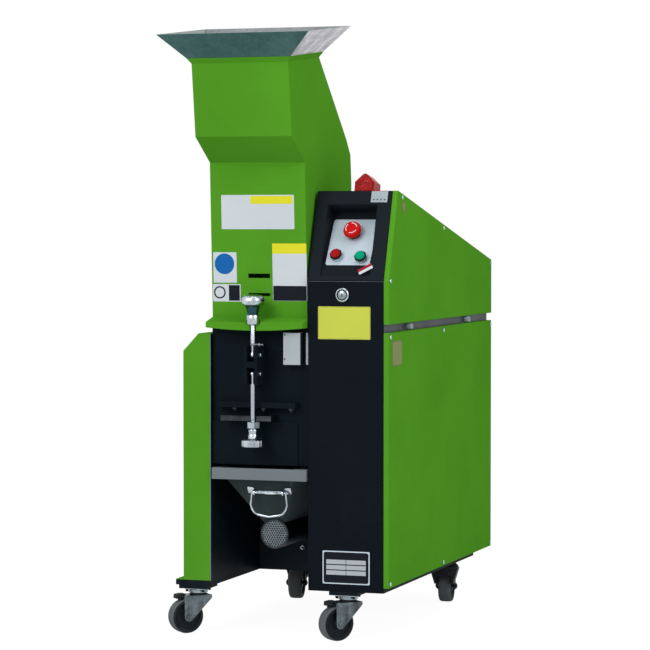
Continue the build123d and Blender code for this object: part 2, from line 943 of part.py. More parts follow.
with BuildPart() as hopper_body:
    with BuildSketch(Plane.YZ.offset(hopper_left)):
        side_profile(
            (
                (hopper_foot_front, skirt_top),
                (-under_lead, chamber_top + under_height),
                (-fold_lead, chamber_top + fold_height),
                (-hopper_lead - top_reach, hopper_top_z - top_tilt),
                (-hopper_lead + top_reach, hopper_top_z + top_tilt),
                (rear_fold_depth, chamber_top + rear_fold_height),
                (rear_shoulder_depth, chamber_top + rear_shoulder_height),
                (hopper_foot_rear, chamber_top + rear_upright),
                (hopper_foot_rear, skirt_top),
            )
        )
    extrude(amount=hopper_width)
    faces = hopper_body.faces()
    foot = faces.sort_by(Axis.Z)[0]
    head = faces.sort_by(Axis.Z)[-1]
    offset(amount=-hopper_wall, openings=[foot, head], kind=Kind.INTERSECTION)
    for inset, mode in ((0, Mode.ADD), (2 * hopper_wall, Mode.SUBTRACT)):
        duct_end = (hopper_width - inset, hopper_top_depth - inset)
        lip_end = (duct_end[0] + 2 * lip_flare, duct_end[1] + 2 * lip_flare)
        taper(hopper_plane(lip_height), lip_end, duct_end, lip_height, mode)
    for step in (0, cleaning_slot_pitch):
        with Locations((hopper_mid, front_y, chamber_top + cleaning_slot_rise + step)):
            Box(cleaning_slot_width, 3 * hopper_foot_front, cleaning_slot_height, mode=Mode.SUBTRACT)
save(hopper_body, "hopper_body")

with BuildPart() as hopper_mouth:
    for inset, mode in ((0, Mode.ADD), (2 * mouth_sheet, Mode.SUBTRACT)):
        rim = (mouth_width - inset, mouth_depth - inset)
        throat = (rim[0] - 2 * mouth_flare_x, rim[1] - 2 * mouth_flare_y)
        taper(hopper_plane(mouth_rise), rim, throat, mouth_height, mode)
save(hopper_mouth, "hopper_mouth")

# Collecting bin: it hangs on two runners and pulls out to the front
bin_left = bay_left + bin_mouth_left
bin_front = front_y - bar_proud + bar_thickness
bin_mouth_x = bin_left + bin_mouth_width / 2
bin_mouth_y = bin_front + bin_mouth_depth / 2
outlet_y = front_y + bin_outlet_front + bin_outlet_depth / 2
rim_bottom = bin_top - bin_rim

with BuildPart() as bin_runners:
    runner_top = rim_bottom - runner_gap
    runner_span = (front_y + runner_start, cross_y)
    for side in ((bay_left, bay_left + runner_left), (cabinet_left - runner_right, cabinet_left)):
        block(side, runner_span, (runner_top - runner_height, runner_top))
save(bin_runners, "bin_runners")

with BuildPart() as bin_front_bar:
    bar_top = bin_top + bar_top_gap
    block(
        (bay_left + bar_left_margin, cabinet_left - bar_right_margin),
        (front_y - bar_proud, bin_front),
        (bar_top - bar_height, bar_top),
    )
save(bin_front_bar, "bin_front_bar")

with BuildPart() as bin_body:
    outlet_left = pipe_axis_x - bin_outlet_width / 2 - bin_left
    outlet_front = outlet_y - bin_outlet_depth / 2 - bin_front
    with Locations(Plane((bin_left, bin_front, bin_top), x_dir=(1, 0, 0), z_dir=(0, 1, 0))):
        Wedge(
            bin_mouth_width,
            bin_drop,
            bin_mouth_depth,
            outlet_left,
            outlet_front,
            outlet_left + bin_outlet_width,
            outlet_front + bin_outlet_depth,
            align=corner,
        )
    faces = bin_body.faces()
    offset(
        amount=-bin_sheet,
        openings=[faces.sort_by(Axis.Z)[0], faces.sort_by(Axis.Z)[-1]],
        kind=Kind.INTERSECTION,
    )
    with BuildSketch(Plane.XY.offset(rim_bottom)):
        rim_left = bay_left + bin_rim_margin
        rim_right = cabinet_left - bin_rim_margin
        with Locations((rim_left, bin_front)):
            Rectangle(
                rim_right - rim_left,
                bin_mouth_depth + bin_rim_margin,
                align=(Align.MIN, Align.MIN),
            )
        with Locations((bin_mouth_x, bin_mouth_y)):
            Rectangle(
                bin_mouth_width - 2 * bin_sheet,
                bin_mouth_depth - 2 * bin_sheet,
                mode=Mode.SUBTRACT,
            )
    extrude(amount=bin_rim)
    with BuildSketch(Plane.XZ.offset(-bin_front)):
        with Locations((pipe_axis_x, pipe_height)):
            Circle(pipe_radius)
    extrude(amount=-bin_mouth_depth, mode=Mode.SUBTRACT)
save(bin_body, "bin_body")

pipe_start = front_y + pipe_front
pipe_end = cross_back + pipe_tail

with BuildPart() as suction_pipe:
    with BuildSketch(Plane.XZ.offset(-pipe_start)):
        with Locations((pipe_axis_x, pipe_height)):
            Circle(pipe_radius)
            Circle(pipe_radius - pipe_wall, mode=Mode.SUBTRACT)
    extrude(amount=pipe_start - pipe_end)
    with Locations((pipe_axis_x, outlet_y, pipe_height)):
        Box(
            bin_outlet_width - 2 * bin_sheet,
            bin_outlet_depth - 2 * bin_sheet,
            pipe_radius,
            align=(Align.CENTER, Align.CENTER, Align.MIN),
            mode=Mode.SUBTRACT,
        )
save(suction_pipe, "suction_pipe")

with BuildPart() as perforated_cap:
    with BuildSketch(Plane.XZ.offset(-pipe_start)):
        with Locations((pipe_axis_x, pipe_height)):
            Circle(pipe_radius)
    extrude(amount=cap_thickness)
save(perforated_cap, "perforated_cap")

# Handle plate on the bin's sloping front, with a bail in its two ears
slope_run = front_y + bin_outlet_front - bin_front
slope_length = hypot(slope_run, bin_drop)
handle_y = bin_front + slope_run * handle_drop / bin_drop
handle_plane = Plane(
    origin=(pipe_axis_x, handle_y, handle_middle),
    x_dir=(1, 0, 0),
    z_dir=(0, -bin_drop / slope_length, -slope_run / slope_length),
)
hinge = handle_plane.from_local_coords(Vector(0, ear_radius - handle_height / 2, ear_proud))

with BuildPart() as bin_handle_plate:
    with BuildSketch(handle_plane):
        tip, rim = handle_width / 2, handle_height / 2
        dish = tip - handle_ear - handle_dish
        outline = [(tip, rim), (tip, 1 - rim), (tip - handle_ear, -rim)]
        outline += [(-x, y) for x, y in reversed(outline)]
        outline += [(handle_ear - tip, rim), (-dish, rim - handle_dish)]
        outline += [(dish, rim - handle_dish), (tip - handle_ear, rim)]
        Polygon(*outline, align=None)
    extrude(amount=handle_thickness)
    for side in (-1, 1):
        ear_x = Vector(side * bail_span / 2 - ear_thickness / 2, 0, 0)
        with BuildSketch(Plane(origin=hinge + ear_x, x_dir=-handle_plane.z_dir, z_dir=(1, 0, 0))):
            Circle(ear_radius)
            Rectangle(
                ear_proud - handle_thickness,
                2 * ear_radius,
                align=(Align.MIN, Align.CENTER),
            )
            Circle(bail_wire / 2 + bail_play, mode=Mode.SUBTRACT)
        extrude(amount=ear_thickness)
save(bin_handle_plate, "bin_handle_plate")

with BuildPart() as bin_bail:
    bail_plane = Plane(origin=hinge, x_dir=(1, 0, 0), z_dir=(0, -1, 0))
    half = bail_span / 2
    with BuildLine(bail_plane) as bail_line:
        FilletPolyline(
            (half - bail_pin, 0),
            (half + bail_pin, 0),
            (half + bail_pin + bail_bulge, -bail_waist),
            (bail_foot, bail_sag - bail_drop),
            (0, -bail_drop),
            (-bail_foot, bail_sag - bail_drop),
            (-half - bail_pin - bail_bulge, -bail_waist),
            (-half - bail_pin, 0),
            (-half + bail_pin, 0),
            radius=(bail_bend, bail_corner, *[2 * bail_corner] * 3, bail_corner, bail_bend),
        )
    with BuildSketch(Plane(origin=bail_line.line @ 0, z_dir=bail_line.line % 0)):
        Circle(bail_wire / 2)
    sweep(path=bail_line.line)
save(bin_bail, "bin_bail")

# Control panel: button plate, bezels, emergency stop and two buttons
plate_left = recess_side + (recess_width - plate_width) / 2
stop_top = plate_thickness + stop_bezel_height + stop_neck_height


def plate_point(place):
    """A point on the button plate, given as shares of its width and length."""
    return plate_left + place[0] * plate_width, plate_start + place[1] * plate_length


with BuildPart() as button_plate:
    with BuildSketch(recess_plane()):
        with Locations((plate_left + plate_width / 2, plate_start + plate_length / 2)):
            RectangleRounded(plate_width, plate_length, plate_corner)
        with Locations(plate_point(stop_place)):
            Circle(stop_neck_radius + button_play, mode=Mode.SUBTRACT)
        with Locations(plate_point(red_place), plate_point(green_place)):
            Circle(button_radius + button_play, mode=Mode.SUBTRACT)
    extrude(amount=plate_thickness)
save(button_plate, "button_plate")

with BuildPart() as button_bezels:
    with BuildSketch(recess_plane(plate_thickness)):
        with Locations(plate_point(red_place), plate_point(green_place)):
            Circle(bezel_radius)
            Circle(button_radius + button_play, mode=Mode.SUBTRACT)
    extrude(amount=bezel_height)
    with BuildSketch(recess_plane(plate_thickness)):
        with Locations(plate_point(stop_place)):
            Circle(stop_bezel_radius)
            Circle(stop_neck_radius + button_play, mode=Mode.SUBTRACT)
    extrude(amount=stop_bezel_height)
save(button_bezels, "button_bezels")

for name, place in {"stop_button": red_place, "start_button": green_place}.items():
    with BuildPart() as push_button:
        with BuildSketch(recess_plane(button_stem)):
            with Locations(plate_point(place)):
                Circle(button_radius)
        extrude(amount=plate_thickness + bezel_height + button_height - button_stem)
    save(push_button, name)

with BuildPart() as emergency_stop:
    with BuildSketch(recess_plane(button_stem)):
        with Locations(plate_point(stop_place)):
            Circle(stop_neck_radius)
    extrude(amount=stop_top - button_stem)
    with BuildSketch(recess_plane(stop_top - button_stem)):
        with Locations(plate_point(stop_place)):
            Circle(stop_radius)
    extrude(amount=stop_height)
    rim = emergency_stop.faces().sort_by(Axis((0, 0, 0), out_of_recess))[-1].edges()
    chamfer(rim, length=stop_height / 4)
save(emergency_stop, "emergency_stop")

# Door lock, and the warning lamp on the cabinet's sloping top
with BuildPart() as door_lock:
    with BuildSketch(Plane.XZ.offset(-front_y)):
        with Locations((cabinet_left + cabinet_width * lock_share, door_top - lock_drop)):
            Circle(lock_radius)
    extrude(amount=lock_proud)
save(door_lock, "door_lock")

roof_z = panel_top + roof_line.Z / roof_line.Y * (lamp_y - panel_run)
lamp_plane = Plane(
    origin=(cabinet_right - lamp_x, front_y + lamp_y, roof_z),
    x_dir=(1, 0, 0),
    z_dir=(0, -roof_line.Z, roof_line.Y),
)

# The lamp's base plate is carried by a strap that folds down over the panel's face
with BuildPart() as lamp_base:
    base_left = -lamp_width / 2
    strap_left = lamp_x - lamp_strap_left
    with BuildSketch(lamp_plane):
        with Locations((base_left, -lamp_depth / 2)):
            Rectangle(
                strap_left + lamp_strap_width - base_left,
                lamp_depth,
                align=(Align.MIN, Align.MIN),
            )
    extrude(amount=lamp_base_height)
    strap_reach = (lamp_y - panel_run) / roof_line.Y + lamp_strap_sheet
    with BuildSketch(lamp_plane):
        with Locations((strap_left, -strap_reach)):
            Rectangle(lamp_strap_width, strap_reach, align=(Align.MIN, Align.MIN))
    extrude(amount=lamp_strap_sheet)
    with BuildSketch(panel_plane()):
        with Locations((cabinet_width - lamp_strap_left, panel_slope + lamp_strap_sheet)):
            Rectangle(
                lamp_strap_width,
                lamp_strap_drop + lamp_strap_sheet,
                align=(Align.MIN, Align.MAX),
            )
    extrude(amount=lamp_strap_sheet)
    with BuildSketch(lamp_plane):
        with Locations((lamp_width / 2 + lamp_strap_sheet, -lamp_depth / 2)):
            Rectangle(lamp_strap_sheet, lamp_depth, align=(Align.MIN, Align.MIN))
    extrude(amount=lamp_guard_height)
save(lamp_base, "lamp_base")

with BuildPart() as warning_lamp:
    lens_front = lamp_plane.from_local_coords(Vector(0, -lamp_depth / 2, lamp_base_height))
    with BuildSketch(Plane(origin=lens_front, x_dir=(1, 0, 0), z_dir=-lamp_plane.y_dir)):
        Polygon(
            (-lamp_width / 2, 0),
            (lamp_width / 2, 0),
            (lamp_width / 2, lamp_height),
            (lamp_flat / 2, lamp_height + lamp_peak),
            (-lamp_flat / 2, lamp_height + lamp_peak),
            (-lamp_width / 2, lamp_height),
            align=None,
        )
    extrude(amount=-lamp_depth)
save(warning_lamp, "warning_lamp")
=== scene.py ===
"""Finishes for a low-speed plastic crusher: paint, hopper, clamp, bin, controls and casters."""

import json
import math

import bmesh
import bpy
from bpy.props import FloatProperty, FloatVectorProperty, IntProperty, PointerProperty
from mathutils import Matrix, Vector


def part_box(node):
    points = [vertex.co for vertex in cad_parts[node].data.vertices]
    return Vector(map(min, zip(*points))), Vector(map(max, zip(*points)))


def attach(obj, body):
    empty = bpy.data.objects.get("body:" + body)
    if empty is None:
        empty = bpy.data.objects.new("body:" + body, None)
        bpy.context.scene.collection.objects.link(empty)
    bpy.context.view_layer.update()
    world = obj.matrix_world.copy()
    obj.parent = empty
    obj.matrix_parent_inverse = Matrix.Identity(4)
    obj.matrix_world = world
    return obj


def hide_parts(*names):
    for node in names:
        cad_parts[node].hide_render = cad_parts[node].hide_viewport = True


bl_info = {
    "name": "Plastic crusher finishes",
    "version": (1, 0, 0),
    "blender": (4, 5, 0),
    "location": "3D View > Sidebar > Crusher",
    "description": "Dresses a plastic crusher with its paint, plates, screws, controls and casters",
    "category": "Object",
}

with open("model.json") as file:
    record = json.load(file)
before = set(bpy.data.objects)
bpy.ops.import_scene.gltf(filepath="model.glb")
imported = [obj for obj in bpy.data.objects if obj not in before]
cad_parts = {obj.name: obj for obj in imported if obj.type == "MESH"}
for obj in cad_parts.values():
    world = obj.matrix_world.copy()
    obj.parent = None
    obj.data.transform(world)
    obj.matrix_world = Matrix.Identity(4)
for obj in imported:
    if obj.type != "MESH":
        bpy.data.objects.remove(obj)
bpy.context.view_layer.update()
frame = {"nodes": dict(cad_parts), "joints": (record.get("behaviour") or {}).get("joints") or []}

MM = 0.001
CASTERS = ("front_left", "front_right", "rear_right", "rear_left")
PANEL_UP = Vector((0, 66, 193)).normalized()
PANEL_OUT = Vector((0, -193, 66)).normalized()
DUCT_UP = Vector((0, -17, 344)).normalized()
ACROSS = Vector((1, 0, 0))
FRONT = Vector((0, -1, 0))
UP = Vector((0, 0, 1))
CAMERA_PLACE = (1.9776, -5.8518, 0.9)
CAMERA_AZIMUTH = math.radians(18.72)
CAMERA_PITCH = math.radians(2.17)
door_low, door_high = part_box("cabinet_door")


# Places


def mm(x, y, z=0.0):
    """A vector given in millimetres."""
    return Vector((x * MM, y * MM, z * MM))


def at(x, y, z):
    """A point given in millimetres right of the door, back from its face and up from the floor."""
    return Vector((door_high.x + x * MM, door_low.y + y * MM, z * MM))


def middle(node):
    """The middle of a CAD node's box."""
    low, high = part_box(node)
    return (low + high) / 2


def facing(origin, normal, across=ACROSS):
    """A placing matrix: X runs across, Z along the normal, from an origin."""
    if abs(Vector(normal).normalized().dot(Vector(across).normalized())) > 0.999:
        raise ValueError("the normal runs along the across direction")
    z = Vector(normal).normalized()
    x = (Vector(across) - z * Vector(across).dot(z)).normalized()
    return Matrix.Translation(origin) @ Matrix((x, z.cross(x), z)).transposed().to_4x4()


def shifted(place, x, y, z=0.0):
    """A place moved by millimetres along its own axes."""
    return place @ Matrix.Translation(mm(x, y, z))


def front_of(node):
    """The direction square to the largest face of a CAD node, towards the front."""
    faces = frame["nodes"][node].data.polygons
    out = max(faces, key=lambda face: face.area).normal.copy()
    return out if out.y < 0 else -out


def on_axis(node, out):
    """A place at the foot of a turned CAD node, with Z along its axis, and its length in mm."""
    points = [v.co for v in frame["nodes"][node].data.vertices]
    reach = [p.dot(out) for p in points]
    foot, tip = min(reach), max(reach)
    cap = [p for p, r in zip(points, reach) if r > tip - 1e-5]
    centre = Vector([(min(c) + max(c)) / 2 for c in zip(*cap)])
    return facing(centre - out * (tip - foot), out), (tip - foot) / MM


def joint_of(name):
    """A joint of the frame by its name, and its point."""
    joint = next(row for row in frame["joints"] if row["name"] == name)
    return joint, Vector(joint["pos_m"])


# Sizes and colours


def colour(label, text, value):
    return FloatVectorProperty(
        name=label, description=text, subtype="COLOR", size=3, min=0, max=1, default=value
    )


def length(label, text, value):
    return FloatProperty(
        name=label, description=text, default=value * MM, min=0, unit="LENGTH", subtype="DISTANCE"
    )


def number(label, text, value, kind=FloatProperty, **limits):
    return kind(name=label, description=text, default=value, **{"min": 0, **limits})


class CrusherPaint(bpy.types.PropertyGroup):
    """Colours of the painted and plated sheets."""

    green: colour("Green coat", "Powder coat of the hopper and the covers", (0.0935, 0.337, 0.021))
    green_shade: colour("Green mottle", "Darker cloud in the green coat", (0.08, 0.3, 0.018))
    black: colour("Black coat", "Blue-black coat of the cabinet front", (0.007, 0.0108, 0.0148))
    black_shade: colour("Black mottle", "Darker cloud in the black coat", (0.0058, 0.009, 0.0126))
    bar_grey: colour("Bar grey", "Paint of the bin's front bar", (0.19, 0.222, 0.245))
    stainless: colour("Stainless", "Brushed sheet of the mouth", (0.3, 0.32, 0.33))
    zinc: colour("Zinc", "Plating of the caster forks", (0.18, 0.22, 0.24))
    peel: number("Orange peel", "Depth of the coat's fine ripple", 0.1, max=1)


class CrusherHardware(bpy.types.PropertyGroup):
    """Sizes of the cover screws, the rail bolts, the cap's holes, the knob and the hand wheel."""

    screw_radius: length("Screw radius", "Head radius of the cover screws", 4.6)
    screw_height: length("Screw height", "Head height of the cover screws", 2.4)
    bolt_radius: length("Bolt radius", "Head radius of the rail bolts", 7.2)
    hole_pitch: length("Hole pitch", "Distance between the holes of the pipe's cap", 5.6)
    hole_share: number("Hole share", "Part of the pitch that a hole takes", 0.82, min=0.2, max=0.9)
    knob_lobes: number("Knob lobes", "Grip lobes of the upper knob", 6, IntProperty, min=3)
    wheel_ribs: number("Wheel ribs", "Ribs of the lower hand wheel", 18, IntProperty, min=8)


class CrusherStage(bpy.types.PropertyGroup):
    """The camera and the lights."""

    focal: number("Focal length", "Lens of the camera in millimetres", 150.886, min=20)
    key: number("Key light", "Power of the large front light", 94)
    fill: number("Fill light", "Power of the side light", 28)
    top: number("Top light", "Power of the light overhead", 36)
    world: number("World", "Strength of the surrounding light", 0.5)


def paint():
    return bpy.context.scene.crusher_paint


def hardware():
    return bpy.context.scene.crusher_hardware


# Node trees


class Nodes:
    """Adds nodes to a tree by name and joins them."""

    def __init__(self, tree):
        self.tree = tree
        self.link = tree.links.new

    def add(self, kind, values=None, **settings):
        node = self.tree.nodes.new(kind)
        for key, value in settings.items():
            setattr(node, key, value)
        for key, value in (values or {}).items():
            if isinstance(value, bpy.types.NodeSocket):
                self.link(value, node.inputs[key])
            else:
                node.inputs[key].default_value = value
        return node

    def first(self, kind, values=None, **settings):
        """The first output of a new node."""
        return self.add(kind, values, **settings).outputs[0]

    def blend(self, factor, low, high):
        values = {0: factor, 6: low, 7: high}
        return self.add("ShaderNodeMix", values, data_type="RGBA").outputs[2]

    def ramp(self, value, low, high, start, end):
        return self.first("ShaderNodeMapRange", {0: value, 1: low, 2: high, 3: start, 4: end})

    def noise(self, vector, scale, detail=3.0, rough=0.5):
        values = {"Vector": vector, "Scale": scale, "Detail": detail, "Roughness": rough}
        return self.first("ShaderNodeTexNoise", values)

    def calc(self, kind, first, second=0.0):
        return self.first("ShaderNodeMath", {0: first, 1: second}, operation=kind)

    def plus(self, first, second):
        return self.calc("ADD", first, second)

    def times(self, first, second):
        return self.calc("MULTIPLY", first, second)


def new_tree(name, kind, takes, gives):
    """A node tree with named sockets; gives its nodes, its input node and its output node."""
    tree = bpy.data.node_groups.new(name, kind)
    for label, sort, value in takes:
        socket = tree.interface.new_socket(
            name=label, in_out="INPUT", socket_type="NodeSocket" + sort
        )
        if value is not None:
            socket.default_value = value
    for label, sort in gives:
        tree.interface.new_socket(name=label, in_out="OUTPUT", socket_type="NodeSocket" + sort)
    nodes = Nodes(tree)
    return nodes, nodes.add("NodeGroupInput").outputs, nodes.add("NodeGroupOutput").inputs


def cleared(block):
    """The emptied node tree of a material or a world."""
    block.use_nodes = True
    block.node_tree.nodes.clear()
    return Nodes(block.node_tree)


def shared(name, make):
    return bpy.data.node_groups.get(name) or make()


def rgba(value):
    return (*value, 1.0)


# Shader groups and finishes

SURFACE = (("Colour", "Color"), ("Roughness", "Float"), ("Height", "Float"))


def coat_group():
    """Powder coat: a slow cloud in the colour, a fine ripple, and dust that settles low down."""
    takes = (
        ("Vector", "Vector", None),
        ("Colour", "Color", (0.5, 0.5, 0.5, 1)),
        ("Mottle", "Color", (0.4, 0.4, 0.4, 1)),
        ("Dust", "Color", (0.3, 0.29, 0.26, 1)),
        ("Roughness", "Float", 0.35),
        ("Dust amount", "Float", 0.1),
    )
    nodes, given, out = new_tree("Powder coat", "ShaderNodeTree", takes, SURFACE)
    where = given["Vector"]
    cloud = nodes.ramp(nodes.noise(where, 5.0, 4.0, 0.55), 0.35, 0.7, 0, 1)
    tone = nodes.blend(cloud, given["Colour"], given["Mottle"])
    height = nodes.add("ShaderNodeSeparateXYZ", {0: where}).outputs["Z"]
    low_down = nodes.ramp(height, 0.1, 0.5, 1, 0.12)
    specks = nodes.ramp(nodes.noise(where, 46.0, 5.0, 0.7), 0.5, 0.78, 0, 1)
    dusty = nodes.times(nodes.times(low_down, specks), given["Dust amount"])
    nodes.link(nodes.blend(dusty, tone, given["Dust"]), out["Colour"])
    smear = nodes.ramp(nodes.noise(where, 9.0), 0.3, 0.7, -0.05, 0.07)
    rough = nodes.plus(nodes.plus(given["Roughness"], smear), nodes.times(dusty, 0.4))
    nodes.link(rough, out["Roughness"])
    fine = nodes.times(nodes.noise(where, 620.0, 2.0), 0.35)
    nodes.link(nodes.plus(nodes.noise(where, 150.0, 1.0), fine), out["Height"])
    return nodes.tree


def grain_group():
    """Brushed or rolled metal: long streaks along one direction and faint patches, which on the
    chrome and the rod are painted reflections.
    """
    takes = (
        ("Vector", "Vector", None),
        ("Stretch", "Vector", (6, 600, 600)),
        ("Light", "Color", (0.5, 0.5, 0.5, 1)),
        ("Dark", "Color", (0.3, 0.3, 0.3, 1)),
        ("Roughness", "Float", 0.3),
        ("Patch scale", "Float", 14.0),
    )
    nodes, given, out = new_tree("Brushed grain", "ShaderNodeTree", takes, SURFACE)
    values = {0: given["Vector"], 1: given["Stretch"]}
    drawn = nodes.first("ShaderNodeVectorMath", values, operation="MULTIPLY")
    streak = nodes.noise(drawn, 1.0, 4.0, 0.6)
    patch = nodes.noise(given["Vector"], given["Patch scale"], 5.0, 0.6)
    mix = nodes.plus(nodes.times(streak, 0.45), nodes.times(patch, 0.55))
    light = nodes.ramp(mix, 0.36, 0.64, 0, 1)
    nodes.link(nodes.blend(light, given["Dark"], given["Light"]), out["Colour"])
    smear = nodes.ramp(streak, 0.3, 0.7, -0.06, 0.09)
    nodes.link(nodes.plus(given["Roughness"], smear), out["Roughness"])
    nodes.link(streak, out["Height"])
    return nodes.tree


def scuff_group():
    """Thin random scratches and rubbed spots, as a mask."""
    takes = (("Vector", "Vector", None), ("Scale", "Float", 40.0), ("Amount", "Float", 0.5))
    nodes, given, out = new_tree("Scuffs", "ShaderNodeTree", takes, (("Mask", "Float"),))
    bent = nodes.noise(given["Vector"], nodes.times(given["Scale"], 0.4), 2.0)
    line = nodes.noise(given["Vector"], given["Scale"], 6.0, 0.75)
    away = nodes.calc("ABSOLUTE", nodes.calc("SUBTRACT", line, 0.5))
    marks = nodes.times(nodes.ramp(away, 0.0, 0.02, 1, 0), nodes.ramp(bent, 0.55, 0.72, 0, 1))
    nodes.link(nodes.times(marks, given["Amount"]), out["Mask"])
    return nodes.tree


def new_finish(name, tone, values):
    """A material with a Principled shader; gives it, its nodes, the shader and coordinates."""
    material = bpy.data.materials.new(name)
    nodes = cleared(material)
    shader = nodes.add("ShaderNodeBsdfPrincipled", {"Base Color": rgba(tone), **values})
    nodes.add("ShaderNodeOutputMaterial", {"Surface": shader.outputs[0]})
    material.diffuse_color = rgba(tone)
    where = nodes.add("ShaderNodeTexCoord").outputs["Object"]
    return material, nodes, shader.inputs, where


def rippled(nodes, shader, strength, distance, height):
    """Gives a shader its fine relief."""
    values = {"Strength": strength, "Distance": distance, "Height": height}
    nodes.link(nodes.first("ShaderNodeBump", values), shader["Normal"])


def coat_finish(name, tone, mottle, roughness, dust, specular):
    """A powder-coated or moulded finish."""
    values = {"Specular IOR Level": specular}
    material, nodes, shader, where = new_finish(name, tone, values)
    values = {
        "Vector": where,
        "Colour": rgba(tone),
        "Mottle": rgba(mottle),
        "Roughness": roughness,
        "Dust amount": dust,
    }
    tree = shared("Powder coat", coat_group)
    coat = nodes.add("ShaderNodeGroup", values, node_tree=tree).outputs
    nodes.link(coat["Colour"], shader["Base Color"])
    nodes.link(coat["Roughness"], shader["Roughness"])
    rippled(nodes, shader, paint().peel, 0.0006, coat["Height"])
    return material


def grain_finish(name, light, dark, roughness, stretch, patch, bump, scuffs, metallic=1.0):
    """A brushed, ground or plated metal."""
    material, nodes, shader, where = new_finish(name, light, {"Metallic": metallic})
    values = {
        "Vector": where,
        "Stretch": stretch,
        "Light": rgba(light),
        "Dark": rgba(dark),
        "Roughness": roughness,
        "Patch scale": patch,
    }
    tree = shared("Brushed grain", grain_group)
    grain = nodes.add("ShaderNodeGroup", values, node_tree=tree).outputs
    tone, rough = grain["Colour"], grain["Roughness"]
    if scuffs:
        tree = shared("Scuffs", scuff_group)
        values = {"Vector": where, "Amount": scuffs}
        mask = nodes.first("ShaderNodeGroup", values, node_tree=tree)
        tone = nodes.blend(mask, tone, rgba([min(1, c * 1.5) for c in light]))
        rough = nodes.plus(rough, nodes.times(mask, 0.25))
    nodes.link(tone, shader["Base Color"])
    nodes.link(rough, shader["Roughness"])
    rippled(nodes, shader, bump, 0.0002, grain["Height"])
    return material


def lamp_finish():
    """Red moulded lens with small facets and pink painted highlight spots."""
    values = {"Roughness": 0.25, "Specular IOR Level": 0.05}
    material, nodes, shader, where = new_finish("crusher_lamp", (0.45, 0.006, 0.008), values)
    values = {"Vector": where, "Scale": 230.0, "Randomness": 0.35}
    cells = nodes.add("ShaderNodeTexVoronoi", values).outputs["Distance"]
    edge = nodes.ramp(cells, 0.15, 0.75, 0, 1)
    tone = nodes.blend(edge, (0.56, 0.006, 0.008, 1), (0.17, 0.001, 0.003, 1))
    # The light pink spots are painted highlights on the lens.
    painted_highlight = nodes.ramp(nodes.noise(where, 260.0, 2.0), 0.6, 0.7, 0, 0.6)
    nodes.link(nodes.blend(painted_highlight, tone, (0.8, 0.2, 0.2, 1)), shader["Base Color"])
    rippled(nodes, shader, 0.5, 0.001, cells)
    return material


